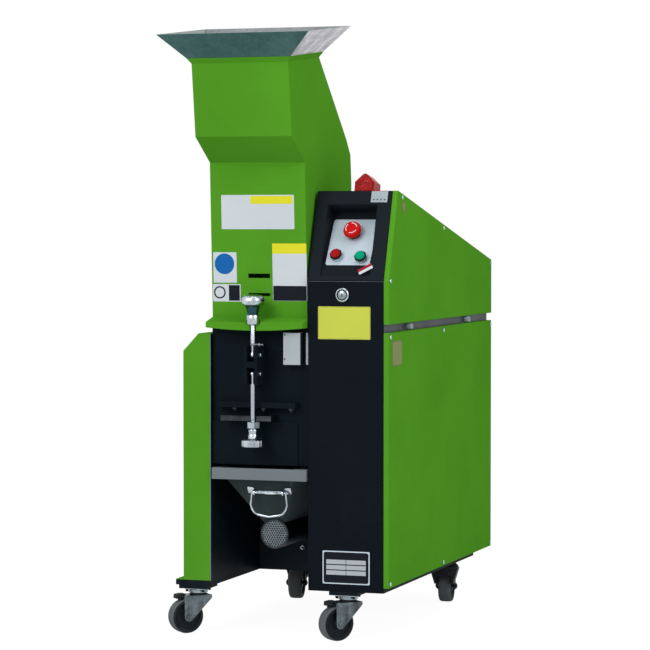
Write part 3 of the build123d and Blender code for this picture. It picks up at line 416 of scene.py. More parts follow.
def make_finishes():
    """Every finish of the machine, by name."""
    p = paint()
    # Colour, mottle, roughness, dust and specular
    coats = {
        "green": (p.green, p.green_shade, 0.45, 0.03, 0.0),
        "black": (p.black, p.black_shade, 0.4, 0.01, 0.01),
        "frame_black": ([c * 1.4 for c in p.black], p.black, 0.5, 0.03, 0.02),
        "chamber": ((0.0062, 0.0115, 0.0165), (0.0045, 0.0085, 0.0125), 0.42, 0.02, 0.02),
        "bar_grey": (p.bar_grey, [c * 0.88 for c in p.bar_grey], 0.42, 0.03, 0.1),
        "panel_black": ((0.0135, 0.0185, 0.0235), (0.0108, 0.015, 0.019), 0.4, 0.01, 0.01),
        "bay_black": ((0.019, 0.029, 0.038), (0.014, 0.022, 0.03), 0.45, 0.02, 0.02),
        "rail_grey": ((0.055, 0.068, 0.085), (0.03, 0.038, 0.05), 0.4, 0.05, 0.1),
        "switch_grey": ((0.45, 0.5, 0.54), (0.4, 0.445, 0.48), 0.4, 0.02, 0.1),
        "strap_grey": ((0.45, 0.52, 0.57), (0.3, 0.36, 0.4), 0.36, 0.1, 0.1),
        # Painted light: a lighter colour for the bin's faces that do not face the front.
        "bin_side": ((0.26, 0.36, 0.4), (0.16, 0.23, 0.26), 0.4, 0.03, 0.02),
        "bin_sheet": ((0.045, 0.068, 0.068), (0.014, 0.024, 0.024), 0.36, 0.1, 0.06),
        "bezel": ((0.012, 0.012, 0.013), (0.009, 0.009, 0.01), 0.3, 0.0, 0.15),
        "stop_red": ((0.63, 0.009, 0.009), (0.54, 0.007, 0.007), 0.36, 0.0, 0.06),
        "button_red": ((0.4, 0.0075, 0.012), (0.33, 0.006, 0.009), 0.36, 0.0, 0.08),
        "button_green": ((0.0, 0.35, 0.2), (0.0, 0.29, 0.16), 0.36, 0.0, 0.05),
        "rubber": ((0.014, 0.017, 0.02), (0.009, 0.012, 0.014), 0.55, 0.1, 0.08),
        "tread": ((0.14, 0.155, 0.165), (0.09, 0.1, 0.11), 0.7, 0.1, 0.1),
        "hub": ((0.012, 0.016, 0.02), (0.008, 0.011, 0.014), 0.45, 0.06, 0.08),
        "brake": ((0.02, 0.024, 0.027), (0.013, 0.016, 0.019), 0.5, 0.06, 0.08),
        "white_print": ((0.65, 0.7, 0.75), (0.6, 0.65, 0.7), 0.4, 0.01, 0.05),
        "yellow_print": ((0.8, 0.76, 0.03), (0.74, 0.7, 0.026), 0.4, 0.01, 0.1),
        "pale_yellow": ((0.6, 0.65, 0.085), (0.55, 0.6, 0.078), 0.4, 0.01, 0.05),
        "blue_print": ((0.008, 0.13, 0.44), (0.006, 0.11, 0.38), 0.4, 0.01, 0.1),
        "dark_print": ((0.012, 0.014, 0.022), (0.009, 0.011, 0.018), 0.4, 0.01, 0.05),
        "grey_print": ((0.5, 0.55, 0.59), (0.42, 0.47, 0.51), 0.4, 0.01, 0.1),
        "red_print": ((0.36, 0.008, 0.018), (0.3, 0.006, 0.014), 0.4, 0.01, 0.1),
        "khaki_print": ((0.19, 0.235, 0.05), (0.15, 0.185, 0.04), 0.45, 0.02, 0.1),
        "olive_print": ((0.2, 0.17, 0.075), (0.14, 0.12, 0.05), 0.45, 0.02, 0.1),
    }
    # Light, dark, roughness, stretch, patch scale, relief, scuffs and, if below 1, metallic
    grains = {
        # The mouth's front colours are a painted reflection, and its side colours are a painted
        # highlight.
        "mouth_front": (
            (0.07, 0.145, 0.14), (0.035, 0.085, 0.085), 0.4, (160, 160, 4), 16.0, 0.15, 0.3,
        ),
        "mouth_side": ((0.72, 0.71, 0.76), (0.2, 0.2, 0.22), 0.36, (160, 8, 30), 34.0, 0.2, 0.5),
        "mouth_inside": (
            p.stainless, [c * 0.6 for c in p.stainless], 0.3, (500, 500, 8), 12.0, 0.15, 0.3,
        ),
        # On the chrome and the rod, the dark patches and long streaks are painted reflections.
        "chrome": ((0.62, 0.68, 0.72), (0.28, 0.33, 0.37), 0.2, (60, 60, 12), 50.0, 0.04, 0.0),
        "rod": ((0.56, 0.6, 0.66), (0.34, 0.37, 0.43), 0.24, (300, 300, 3), 5.0, 0.04, 0.0),
        # The dark teal of the knob's neck is a painted reflection.
        "blued": ((0.035, 0.1, 0.1), (0.008, 0.03, 0.06), 0.3, (90, 90, 8), 60.0, 0.04, 0.0),
        "zinc": (p.zinc, [c * 0.25 for c in p.zinc], 0.34, (60, 60, 14), 55.0, 0.1, 0.3),
        "cutter": ((0.42, 0.42, 0.41), (0.25, 0.25, 0.24), 0.3, (6, 400, 400), 20.0, 0.15, 0.6),
        "machined": (
            (0.06, 0.07, 0.076), (0.02, 0.024, 0.028), 0.4, (6, 400, 400), 40.0, 0.15, 0.6,
        ),
        "plate": ((0.58, 0.68, 0.77), (0.51, 0.6, 0.69), 0.42, (8, 500, 500), 12.0, 0.06, 0.0, 0.3),
        "perforated": ((0.34, 0.4, 0.43), (0.2, 0.25, 0.27), 0.32, (200, 200, 200), 70.0, 0.1, 0.0),
        "screw": ((0.6, 0.72, 0.76), (0.25, 0.33, 0.36), 0.22, (300, 300, 300), 90.0, 0.1, 0.0),
    }
    made = {name: coat_finish("crusher_" + name, *row) for name, row in coats.items()}
    made.update({name: grain_finish("crusher_" + name, *row) for name, row in grains.items()})
    return {**made, "lamp": lamp_finish()}


finishes = {}


# Mesh making


def turned(mesh, profile, place, steps=48, wave=None, material=0):
    """Turns (radius, height) pairs in millimetres about Z; a radius of 0 closes the end."""
    rings = []
    for radius, height in profile:
        if radius < 1e-6:
            rings.append([mesh.verts.new(place @ mm(0, 0, height))])
            continue
        ring = []
        for step in range(steps):
            angle = 2 * math.pi * step / steps
            reach = (wave(radius, angle) if wave else radius) * MM
            spot = Vector((reach * math.cos(angle), reach * math.sin(angle), height * MM))
            ring.append(mesh.verts.new(place @ spot))
        rings.append(ring)
    faces = []
    for low, high in zip(rings, rings[1:]):
        for step in range(steps):
            after = (step + 1) % steps
            corners = [low[step % len(low)], low[after % len(low)]]
            corners += [high[after % len(high)], high[step % len(high)]]
            corners = list(dict.fromkeys(corners))
            if len(corners) > 2:
                faces.append(mesh.faces.new(corners))
                faces[-1].material_index = material
    return faces


def prism(mesh, place, outline, low, high, material=0):
    """An outline in millimetres, given a thickness along Z of its place."""
    rings = [[mesh.verts.new(place @ mm(x, y, z)) for x, y in outline] for z in (low, high)]
    faces = [mesh.faces.new(rings[1]), mesh.faces.new(rings[0][::-1])]
    for step in range(len(outline)):
        after = (step + 1) % len(outline)
        corners = (rings[0][step], rings[0][after], rings[1][after], rings[1][step])
        faces.append(mesh.faces.new(corners))
    for face in faces:
        face.material_index = material


def slab(mesh, place, width, height, thickness, corner, material=0, middle_x=0, middle_y=0):
    """A flat plate in millimetres, with rounded corners, standing out along Z of its place."""
    outline = []
    for across, up, start in ((1, 1, 0), (-1, 1, 90), (-1, -1, 180), (1, -1, 270)):
        for turn in (0, 22.5, 45, 67.5, 90):
            angle = math.radians(start + turn)
            x = middle_x + across * (width / 2 - corner) + corner * math.cos(angle)
            y = middle_y + up * (height / 2 - corner) + corner * math.sin(angle)
            outline.append((x, y))
    prism(mesh, place, outline, 0, thickness, material)


def slabs(mesh, place, *rows):
    """Flat plates on one place, each with the sizes that slab() takes."""
    for row in rows:
        slab(mesh, place, *row)


def tube(mesh, points, radius, steps=12):
    """A round wire through points given in metres, with rings turned smoothly along it."""
    rings = []
    side = None
    for i, point in enumerate(points):
        ahead = (points[min(i + 1, len(points) - 1)] - points[max(i - 1, 0)]).normalized()
        if side is None:
            side = ahead.orthogonal().normalized()
        side = (side - ahead * side.dot(ahead)).normalized()
        up = ahead.cross(side)
        turns = [2 * math.pi * k / steps for k in range(steps)]
        ring = [point + (side * math.cos(a) + up * math.sin(a)) * radius for a in turns]
        rings.append([mesh.verts.new(spot) for spot in ring])
    for low, high in zip(rings, rings[1:]):
        for k in range(steps):
            after = (k + 1) % steps
            mesh.faces.new((low[k], low[after], high[after], high[k]))
    mesh.faces.new(rings[0][::-1])
    mesh.faces.new(rings[-1])


def lump(mesh, low, high):
    """A block between two corners given in metres."""
    place = Matrix.Translation((low + high) / 2) @ Matrix.Diagonal((*(high - low), 1))
    bmesh.ops.create_cube(mesh, size=1, matrix=place)


def merged(node):
    """A copy of a CAD node's mesh with its corners joined and its flat faces whole."""
    mesh = bmesh.new()
    mesh.from_mesh(frame["nodes"][node].data)
    bmesh.ops.remove_doubles(mesh, verts=mesh.verts, dist=2e-6)
    limit = math.radians(0.5)
    bmesh.ops.dissolve_limit(mesh, angle_limit=limit, verts=mesh.verts, edges=mesh.edges)
    return mesh


def add_piece(mesh, name, body, slot, looks, stands_for=(), **edges):
    """Makes a piece that rides on a body, with its finishes and softened edges; its slot is not
    used.
    """
    data = bpy.data.meshes.new(name)
    bmesh.ops.remove_doubles(mesh, verts=mesh.verts, dist=1e-6)
    bmesh.ops.recalc_face_normals(mesh, faces=mesh.faces)
    mesh.to_mesh(data)
    mesh.free()
    add_mesh(data, name, body, slot, looks, stands_for, **edges)


def add_mesh(data, name, body, slot, looks, stands_for=(), sharp=32.0, soft=0.0, segments=2):
    """The same for a mesh that is ready."""
    if not len(data.polygons):
        raise RuntimeError(f"{name} came out with no faces")
    while len(data.materials):
        data.materials.pop()
    for look in looks:
        data.materials.append(finishes[look])
    data.polygons.foreach_set("use_smooth", [True] * len(data.polygons))
    data.set_sharp_from_angle(angle=math.radians(sharp))
    piece = bpy.data.objects.new(name, data)
    bpy.context.scene.collection.objects.link(piece)
    if soft:
        edge = piece.modifiers.new("Softened edges", "BEVEL")
        edge.width = soft * MM
        edge.segments = segments
        edge.limit_method = "ANGLE"
        edge.angle_limit = math.radians(28)
        edge.harden_normals = True
    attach(piece, body)
    if stands_for:
        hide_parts(*stands_for)


def dress(node, name, body, slot, look, soft=0.0):
    """Makes a piece of a CAD node's own shape, with its edges softened."""
    add_piece(merged(node), name, body, slot, [look], (node,), soft=soft)


# Geometry node trees

MESH_OUT = (("Geometry", "Geometry"),)


def close_tree(nodes, mesh, shape, given, out, **turns):
    """Puts a shape on every point of a mesh and ends in Realize Instances and Set Material."""
    points = nodes.first("GeometryNodeMeshToPoints", {0: mesh})
    values = {"Points": points, "Instance": shape, **turns}
    spread = nodes.first("GeometryNodeInstanceOnPoints", values)
    real = nodes.first("GeometryNodeRealizeInstances", {0: spread})
    values = {"Geometry": real, "Material": given["Material"]}
    nodes.link(nodes.first("GeometryNodeSetMaterial", values), out["Geometry"])
    return nodes.tree


def pulled(nodes, shape, part, distance, share):
    """Pulls faces out by a distance and scales the new ones; gives the shape and its top faces."""
    values = {"Mesh": shape, "Offset Scale": distance}
    if part is not None:
        values["Selection"] = part
    out = nodes.add("GeometryNodeExtrudeMesh", values).outputs
    values = {"Geometry": out["Mesh"], "Selection": out["Top"], "Scale": share}
    return nodes.first("GeometryNodeScaleElements", values), out["Top"]


def screw_tree():
    """Round heads with a chamfer and a recess, one on each point, turned to the point's facing."""
    takes = (
        ("Geometry", "Geometry", None),
        ("Radius", "Float", 0.0045),
        ("Height", "Float", 0.0026),
        ("Recess", "Float", 0.55),
        ("Sides", "Int", 16),
        ("Material", "Material", None),
    )
    nodes, given, out = new_tree("Screw heads", "GeometryNodeTree", takes, MESH_OUT)
    values = {"Vertices": given["Sides"], "Radius": given["Radius"]}
    shape, top = nodes.first("GeometryNodeMeshCircle", values, fill_type="NGON"), None
    # The wall, the chamfer, the rim of the recess and its floor, as parts of the height
    for part, share in ((0.6, 1.0), (0.4, 0.78), (0.0, given["Recess"]), (-0.55, 0.9)):
        shape, top = pulled(nodes, shape, top, nodes.times(given["Height"], part), share)
    values = {"Name": "facing"}
    way = nodes.first("GeometryNodeInputNamedAttribute", values, data_type="FLOAT_VECTOR")
    turn = nodes.first("FunctionNodeAlignRotationToVector", {"Vector": way}, axis="Z")
    return close_tree(nodes, given["Geometry"], shape, given, out, Rotation=turn)


def perforation_tree():
    """A sheet of small six-sided cells with a hole in each, inside a circle."""
    takes = (
        ("Geometry", "Geometry", None),
        ("Radius", "Float", 0.027),
        ("Pitch", "Float", 0.0056),
        ("Hole share", "Float", 0.82),
        ("Thickness", "Float", 0.0012),
        ("Material", "Material", None),
    )
    nodes, given, out = new_tree("Perforated sheet", "GeometryNodeTree", takes, MESH_OUT)
    radius, pitch = given["Radius"], given["Pitch"]
    rows = nodes.calc("CEIL", nodes.times(nodes.calc("DIVIDE", radius, pitch), 2.6))
    row_step = nodes.times(pitch, 0.866)
    last = nodes.calc("SUBTRACT", rows, 1.0)
    values = {
        "Vertices X": rows,
        "Vertices Y": rows,
        "Size X": nodes.times(last, pitch),
        "Size Y": nodes.times(last, row_step),
    }
    grid = nodes.first("GeometryNodeMeshGrid", values)
    where = nodes.first("GeometryNodeInputPosition")
    height = nodes.add("ShaderNodeSeparateXYZ", {0: where}).outputs["Y"]
    row = nodes.calc("ROUND", nodes.plus(nodes.calc("DIVIDE", height, row_step), 50.0))
    shift = nodes.times(nodes.times(nodes.calc("MODULO", row, 2.0), pitch), 0.5)
    values = {"Geometry": grid, "Offset": nodes.first("ShaderNodeCombineXYZ", {"X": shift})}
    moved = nodes.first("GeometryNodeSetPosition", values)
    where = nodes.first("GeometryNodeInputPosition")
    far = nodes.add("ShaderNodeVectorMath", {0: where}, operation="LENGTH").outputs["Value"]
    outside = nodes.first("FunctionNodeCompare", {0: far, 1: radius}, operation="GREATER_THAN")
    values = {"Geometry": moved, "Selection": outside}
    kept = nodes.first("GeometryNodeDeleteGeometry", values, domain="POINT")
    values = {"Vertices": 12, "Radius": nodes.times(pitch, 0.5774)}
    cell = nodes.first("GeometryNodeMeshCircle", values, fill_type="NGON")
    values = {"Geometry": cell, "Rotation": (0, 0, math.radians(30))}
    upright = nodes.first("GeometryNodeTransform", values)
    values = {2: nodes.calc("MODULO", nodes.first("GeometryNodeInputIndex"), 2.0), 3: 1}
    flat_side = nodes.first("FunctionNodeCompare", values, data_type="INT", operation="EQUAL")
    values = {0: nodes.first("GeometryNodeInputPosition"), "Scale": 0.866}
    inner = nodes.first("ShaderNodeVectorMath", values, operation="SCALE")
    values = {"Geometry": upright, "Selection": flat_side, "Position": inner}
    hexed = nodes.first("GeometryNodeSetPosition", values)
    shape, top = pulled(nodes, hexed, None, 0.0, given["Hole share"])
    shape, top = pulled(nodes, shape, top, nodes.times(given["Thickness"], -1.0), 1.0)
    values = {"Geometry": shape, "Selection": top}
    open_cell = nodes.first("GeometryNodeDeleteGeometry", values, domain="FACE")
    return close_tree(nodes, kept, open_cell, given, out)


def grown(tree, sizes, look, spots=()):
    """Runs a tree on (point, facing) pairs and gives the plain mesh that it makes."""
    data = bpy.data.meshes.new("points")
    data.from_pydata([p for p, _ in spots] or [(0, 0, 0)], [], [])
    facing_way = data.attributes.new("facing", "FLOAT_VECTOR", "POINT")
    for i, (_, normal) in enumerate(spots):
        facing_way.data[i].vector = normal
    holder = bpy.data.objects.new("points", data)
    bpy.context.scene.collection.objects.link(holder)
    modifier = holder.modifiers.new("Growth", "NODES")
    modifier.node_group = tree
    values = {**sizes, "Material": finishes[look]}
    for item in tree.interface.items_tree:
        if item.in_out == "INPUT" and item.name in values:
            modifier[item.identifier] = values[item.name]
    graph = bpy.context.evaluated_depsgraph_get()
    made = bpy.data.meshes.new_from_object(holder.evaluated_get(graph), depsgraph=graph)
    holder.modifiers.remove(modifier)
    bpy.data.objects.remove(holder)
    if not len(made.polygons):
        raise RuntimeError(f"{tree.name} made no faces")
    return made


def screws(name, slot, spots, look, radius, height, sides=16):
    """A set of screw heads at (point, facing) pairs, as one piece of the machine."""
    sizes = {"Radius": radius, "Height": height, "Sides": sides}
    data = grown(shared("Screw heads", screw_tree), sizes, look, spots)
    add_mesh(data, name, "machine", slot, [look])


# Operators

# The CAD nodes that show themselves; all others look like the chamber
CARRIED_LOOKS = {
    "frame_black": (
        "base_left_rail",
        "base_rear_deck",
        "base_right_rail",
        "cabinet_shell",
        "caster_pads",
    ),
    "machined": ("bin_runners",),
    "rail_grey": ("cabinet_side_rail",),
    "zinc": ("caster_plates",),
    "cutter": ("cutter_rotor", "front_comb", "rear_comb"),
    "bay_black": ("rear_cross_plate",),
}


class CRUSHER_OT_finishes(bpy.types.Operator):
    """Make every finish and give the carried CAD nodes theirs"""

    bl_idname = "crusher.finishes"
    bl_label = "Finishes"

    def execute(self, context):
        finishes.update(make_finishes())
        looks = {node: look for look, nodes in CARRIED_LOOKS.items() for node in nodes}
        for node, obj in frame["nodes"].items():
            obj.data.materials.clear()
            obj.data.materials.append(finishes[looks.get(node, "chamber")])
        return {"FINISHED"}


SOFTENED = (
    # Node, piece, body, slot, look and width of the softened edge
    ("hopper_body", "hopper_duct", "machine", "green_paint", "green", 2.2),
    ("hopper_skirt", "hopper_flange", "machine", "green_paint", "green", 1.5),
    ("left_cover", "left_column", "machine", "green_paint", "green", 1.6),
    ("rear_cover", "rear_housing", "machine", "green_paint", "green", 1.6),
    ("cabinet_door", "door", "machine", "black_paint", "black", 0.8),
    ("control_panel", "panel", "machine", "black_paint", "panel_black", 3.5),
    ("bin_front_bar", "bin_bar", "bin", "grey_paint", "bar_grey", 1.0),
)
# Each slot's upper edge above the duct's foot and its lift, in millimetres
SLOT_LIFTS = ((60.5, 1.5), (99.5, 4.5))


class CRUSHER_OT_sheets(bpy.types.Operator):
    """Folded sheets and plates with their softened edges"""

    bl_idname = "crusher.sheets"
    bl_label = "Sheets and plates"

    def execute(self, context):
        for node, name, body, slot, look, width in SOFTENED:
            mesh = merged(node)
            if node == "hopper_body":
                self.open_slots(mesh)
            add_piece(mesh, name, body, slot, [look], (node,), soft=width)
        mesh = merged("bin_body")
        mesh.normal_update()
        # One sheet in two colours by facing: painted shade on the front faces and painted light on
        # the others.
        for face in mesh.faces:
            face.material_index = int(face.normal.y > -0.3)
        looks = ["bin_sheet", "bin_side"]
        add_piece(mesh, "bin_shell", "bin", "bin_steel", looks, ("bin_body",), soft=0.5)
        return {"FINISHED"}

    @staticmethod
    def open_slots(mesh):
        """Lifts the upper edges of the two slots, which look taller with their rolled lips."""
        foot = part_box("hopper_body")[0].z
        for rise, lift in SLOT_LIFTS:
            for vert in mesh.verts:
                if abs(vert.co.z - foot - rise * MM) < 0.3 * MM:
                    vert.co += DUCT_UP * (lift * MM)


class CRUSHER_OT_mouth(bpy.types.Operator):
    """Stainless mouth: brushed sheets coloured by the way they face, with a painted reflection on
    the front and a painted highlight on the sides
    """

    bl_idname = "crusher.mouth"
    bl_label = "Mouth"

    def execute(self, context):
        mesh = merged("hopper_mouth")
        mesh.normal_update()
        centre = middle("hopper_mouth")
        for face in mesh.faces:
            away = face.normal.dot(face.calc_center_median() - centre)
            sideways = abs(face.normal.x) > 0.4
            # Front faces take a painted reflection, side faces a painted highlight, and inner faces
            # plain stainless.
            face.material_index = 2 if away < 0 else 1 if sideways else 0
        looks = ["mouth_front", "mouth_side", "mouth_inside"]
        add_piece(mesh, "mouth", "machine", "stainless", looks, ("hopper_mouth",), soft=0.6)
        return {"FINISHED"}


# Along the rail, in millimetres from the door's face
RAIL_BOLTS = (171, 633)
# Parts of the width at which the ledge has its nuts and the forked bar ends
NUT_SHARES = (0.215, 0.58, 0.93)
BAR_SHARE = 0.775


class CRUSHER_OT_covers(bpy.types.Operator):
    """Side covers with screw heads in place of the CAD ones, rail bolts, flange and forked bar"""

    bl_idname = "crusher.covers"
    bl_label = "Covers and chamber front"

    def execute(self, context):
        h = hardware()
        heads = []
        for level in ("upper", "lower"):
            node = "side_cover_" + level
            mesh = merged(node)
            outer = [face for face in mesh.faces if face.normal.x > 0.99]
            side = max(outer, key=lambda face: face.calc_area()).calc_center_median().x
            rims = [v for v in mesh.verts if v.co.x > side + MM]
            heads += [Vector((side, y, z)) for y, z in self.centres(rims)]
            bmesh.ops.delete(mesh, geom=rims, context="VERTS")
            feet = [edge for edge in mesh.edges if edge.is_boundary]
            bmesh.ops.holes_fill(mesh, edges=feet, sides=0)
            name = "cover_" + level
            add_piece(mesh, name, "machine", "green_paint", ["green"], (node,), soft=1.4)
        spots = [(spot, ACROSS) for spot in heads]
        screws("cover_screws", "green_paint", spots, "screw", h.screw_radius, h.screw_height)
        low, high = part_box("cabinet_side_rail")
        height = (low.z + high.z) / 2
        spots = [(Vector((high.x, at(0, y, 0).y, height)), ACROSS) for y in RAIL_BOLTS]
        reach = heads[0].x - high.x
        screws("rail_bolts", "zinc", spots, "strap_grey", h.bolt_radius, reach, sides=8)
        self.flange()
        self.forked_bar()
        return {"FINISHED"}

    @staticmethod
    def centres(rims):
        """The middle of each ring of points that lie close together."""
        rings = []
        for vert in rims:
            ring = next((r for r in rings if (r[0].co - vert.co).length < 0.02), None)
            if ring is None:
                rings.append([vert])
            else:
                ring.append(vert)
        return [
            tuple((min(v.co[i] for v in ring) + max(v.co[i] for v in ring)) / 2 for i in (1, 2))
            for ring in rings
        ]

    @staticmethod
    def flange():
        """The ledge with three nuts under it; the CAD's bolt ends are drawn in."""
        mesh = merged("mid_flange")
        low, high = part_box("mid_flange")
        for vert in mesh.verts:
            vert.co.z = max(vert.co.z, low.z + 0.01)
        nut = [(0, 0), (5.6, 0), (5.6, 4.4), (4.6, 5.2), (2.8, 5.2), (2.8, 8), (0, 8.2)]
        for share in NUT_SHARES:
            spot = Vector((low.x + share * (high.x - low.x), low.y + 0.009, low.z + 0.0105))
            turned(mesh, nut, facing(spot, -UP), steps=6, material=1)
        looks, node = ["chamber", "rail_grey"], ("mid_flange",)
        add_piece(mesh, "flange_ledge", "machine", "chamber_steel", looks, node, soft=1.2)

    @staticmethod
    def forked_bar():
        """The bar, with its right end drawn in."""
        mesh = merged("screen_bar")
        low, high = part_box("screen_bar")
        for vert in mesh.verts:
            vert.co.x = min(vert.co.x, low.x + BAR_SHARE * (high.x - low.x))
        looks, node = ["machined"], ("screen_bar",)
        add_piece(mesh, "forked_bar", "machine", "chamber_steel", looks, node, soft=1.2)


class CRUSHER_OT_controls(bpy.types.Operator):
    """Button plate, bezels, emergency stop, stop and start buttons"""

    bl_idname = "crusher.controls"
    bl_label = "Controls"

    def execute(self, context):
        out = front_of("button_plate")
        face = max(v.co.dot(out) for v in frame["nodes"]["button_plate"].data.vertices)
        dress("button_plate", "panel_plate", "machine", "plate_grey", "plate", 0.4)
        rings = bmesh.new()
        for node, piece, body, slot in (
            ("stop_button", "red_push", "stop_push", "button_red"),
            ("start_button", "green_push", "start_push", "button_green"),
        ):
            place, tall = on_axis(node, out)
            mesh = bmesh.new()
            rim = [(10.3, 0), (10.3, tall - 1.4), (9.6, tall - 0.4), (8.6, tall)]
            turned(mesh, [(0, 0), *rim, (7.6, tall - 0.7), (0, tall - 0.9)], place)
            add_piece(mesh, piece, body, slot, [slot], (node,))
            self.push_ring(rings, self.on_plate(place, out, face))
        place, tall = on_axis("emergency_stop", out)
        seat = self.on_plate(place, out, face)
        turned(rings, [(9.6, 0.1), (15, 0.1), (15, 3.6), (14, 5), (9.6, 5), (9.6, 0.1)], seat)
        looks, node = ["bezel", "chrome"], ("button_bezels",)
        add_piece(rings, "bezels", "machine", "bezel_black", looks, node)
        self.mushroom(place, tall)
        return {"FINISHED"}

    @staticmethod
    def on_plate(place, out, face):
        """The same place slid along its axis onto the plate's face."""
        foot = place.translation
        return facing(foot + out * (face - foot.dot(out)), out)

    @staticmethod
    def push_ring(mesh, place):
        """A plated neck under a black eight-sided ring."""
        neck = [(10.8, 0.1), (12.6, 0.1), (12.4, 1.4), (11.2, 3), (11.0, 7.4)]
        turned(mesh, neck, place, material=1)

        def eight_sided(radius, angle):
            return radius * math.cos(math.pi / 8) / math.cos(angle % (math.pi / 4) - math.pi / 8)

        ring = [(11.4, 7.2), (13.4, 7.4), (13.9, 8.4), (13.9, 11.0), (13.0, 12.0)]
        turned(mesh, ring, place, wave=eight_sided)
        turned(mesh, [(12.4, 12.0), (10.7, 12.0), (10.7, 9)], place)

    @staticmethod
    def mushroom(place, tall):
        """Red head with a dished top and three pale arcs that show which way it turns."""
        mesh = bmesh.new()
        head = [(0, 0), (8.9, 0), (8.9, 7.4), (15, 7.2), (18.6, 8.2), (19.8, 10.6), (19.8, 13.2)]
        head += [(18.8, 16.8), (16.8, tall - 1.1), (14.8, tall - 0.3), (6, tall - 0.3)]

        def notched(radius, angle):
            return radius - 0.3 * (math.cos(24 * angle) < 0) if radius > 19 else radius

        turned(mesh, [*head, (0, tall - 0.5)], place, steps=96, wave=notched)
        for turn in range(3):
            start = 2 * math.pi * turn / 3 + 0.25
            rows = []
            for radius in (11.4, 13.2):
                sweep = [start + 1.45 * step / 10 for step in range(11)]
                arc = [mm(radius * math.cos(a), radius * math.sin(a), tall - 0.1) for a in sweep]
                rows.append([mesh.verts.new(place @ point) for point in arc])
            inner, outer = rows
            for step in range(10):
                strip = (inner[step], outer[step], outer[step + 1], inner[step + 1])
                mesh.faces.new(strip).material_index = 1
        looks, node = ["stop_red", "white_print"], ("emergency_stop",)
        add_piece(mesh, "stop_head", "emergency_stop_head", "button_red", looks, node)


# The lamp's height as a part of its CAD height
LAMP_SHARE = 0.82


class CRUSHER_OT_lock_and_lamp(bpy.types.Operator):
    """Door lock, and the warning lamp on its strap"""

    bl_idname = "crusher.lock_and_lamp"
    bl_label = "Lock and lamp"

    def execute(self, context):
        place, proud = on_axis("door_lock", FRONT)
        mesh = bmesh.new()
        outer = [(11.4, 2.8), (12.0, proud - 0.6), (13.2, proud), (14.6, proud - 0.8)]
        turned(mesh, [*outer, (15.5, proud - 2.6), (15.5, 0)], place)
        turned(mesh, [(11.4, 2.8), (9.4, 2.8)], place, material=1)
        turned(mesh, [(9.4, 2.8), (9.2, 4.4), (8.4, 5.0), (0, 5.0)], place, material=2)
        slab(mesh, shifted(place, 0, 0, 4.9), 2.2, 9, 0.3, 0.9, 1)
        looks = ["chrome", "bezel", "perforated"]
        add_piece(mesh, "lock", "machine", "chrome", looks, ("door_lock",), sharp=40)
        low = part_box("warning_lamp")[0].z
        mesh = merged("warning_lamp")
        for vert in mesh.verts:
            vert.co.x += 0.005
            vert.co.z = low + (vert.co.z - low) * LAMP_SHARE
        node = ("warning_lamp",)
        add_piece(mesh, "lamp_lens", "machine", "lamp_red", ["lamp"], node, soft=2.5, segments=3)
        mesh = merged("lamp_base")
        for face in mesh.faces:
            face.material_index = int(face.calc_center_median().z > low + 0.002)
        for vert in mesh.verts:
            if vert.co.z > low + 0.001:
                vert.co.z = low + (vert.co.z - low) * LAMP_SHARE
        looks, node = ["strap_grey", "lamp"], ("lamp_base",)
        add_piece(mesh, "lamp_strap", "machine", "plate_grey", looks, node, soft=0.5)
        foot = at(-28.5, 66, 967) - PANEL_UP * 0.021 + PANEL_OUT * 0.0015
        spots = [(foot + ACROSS * (step * MM), PANEL_OUT) for step in (-12, -4, 4, 12)]
        screws("strap_screws", "plate_grey", spots, "machined", 0.0016, 0.0008)
        return {"FINISHED"}


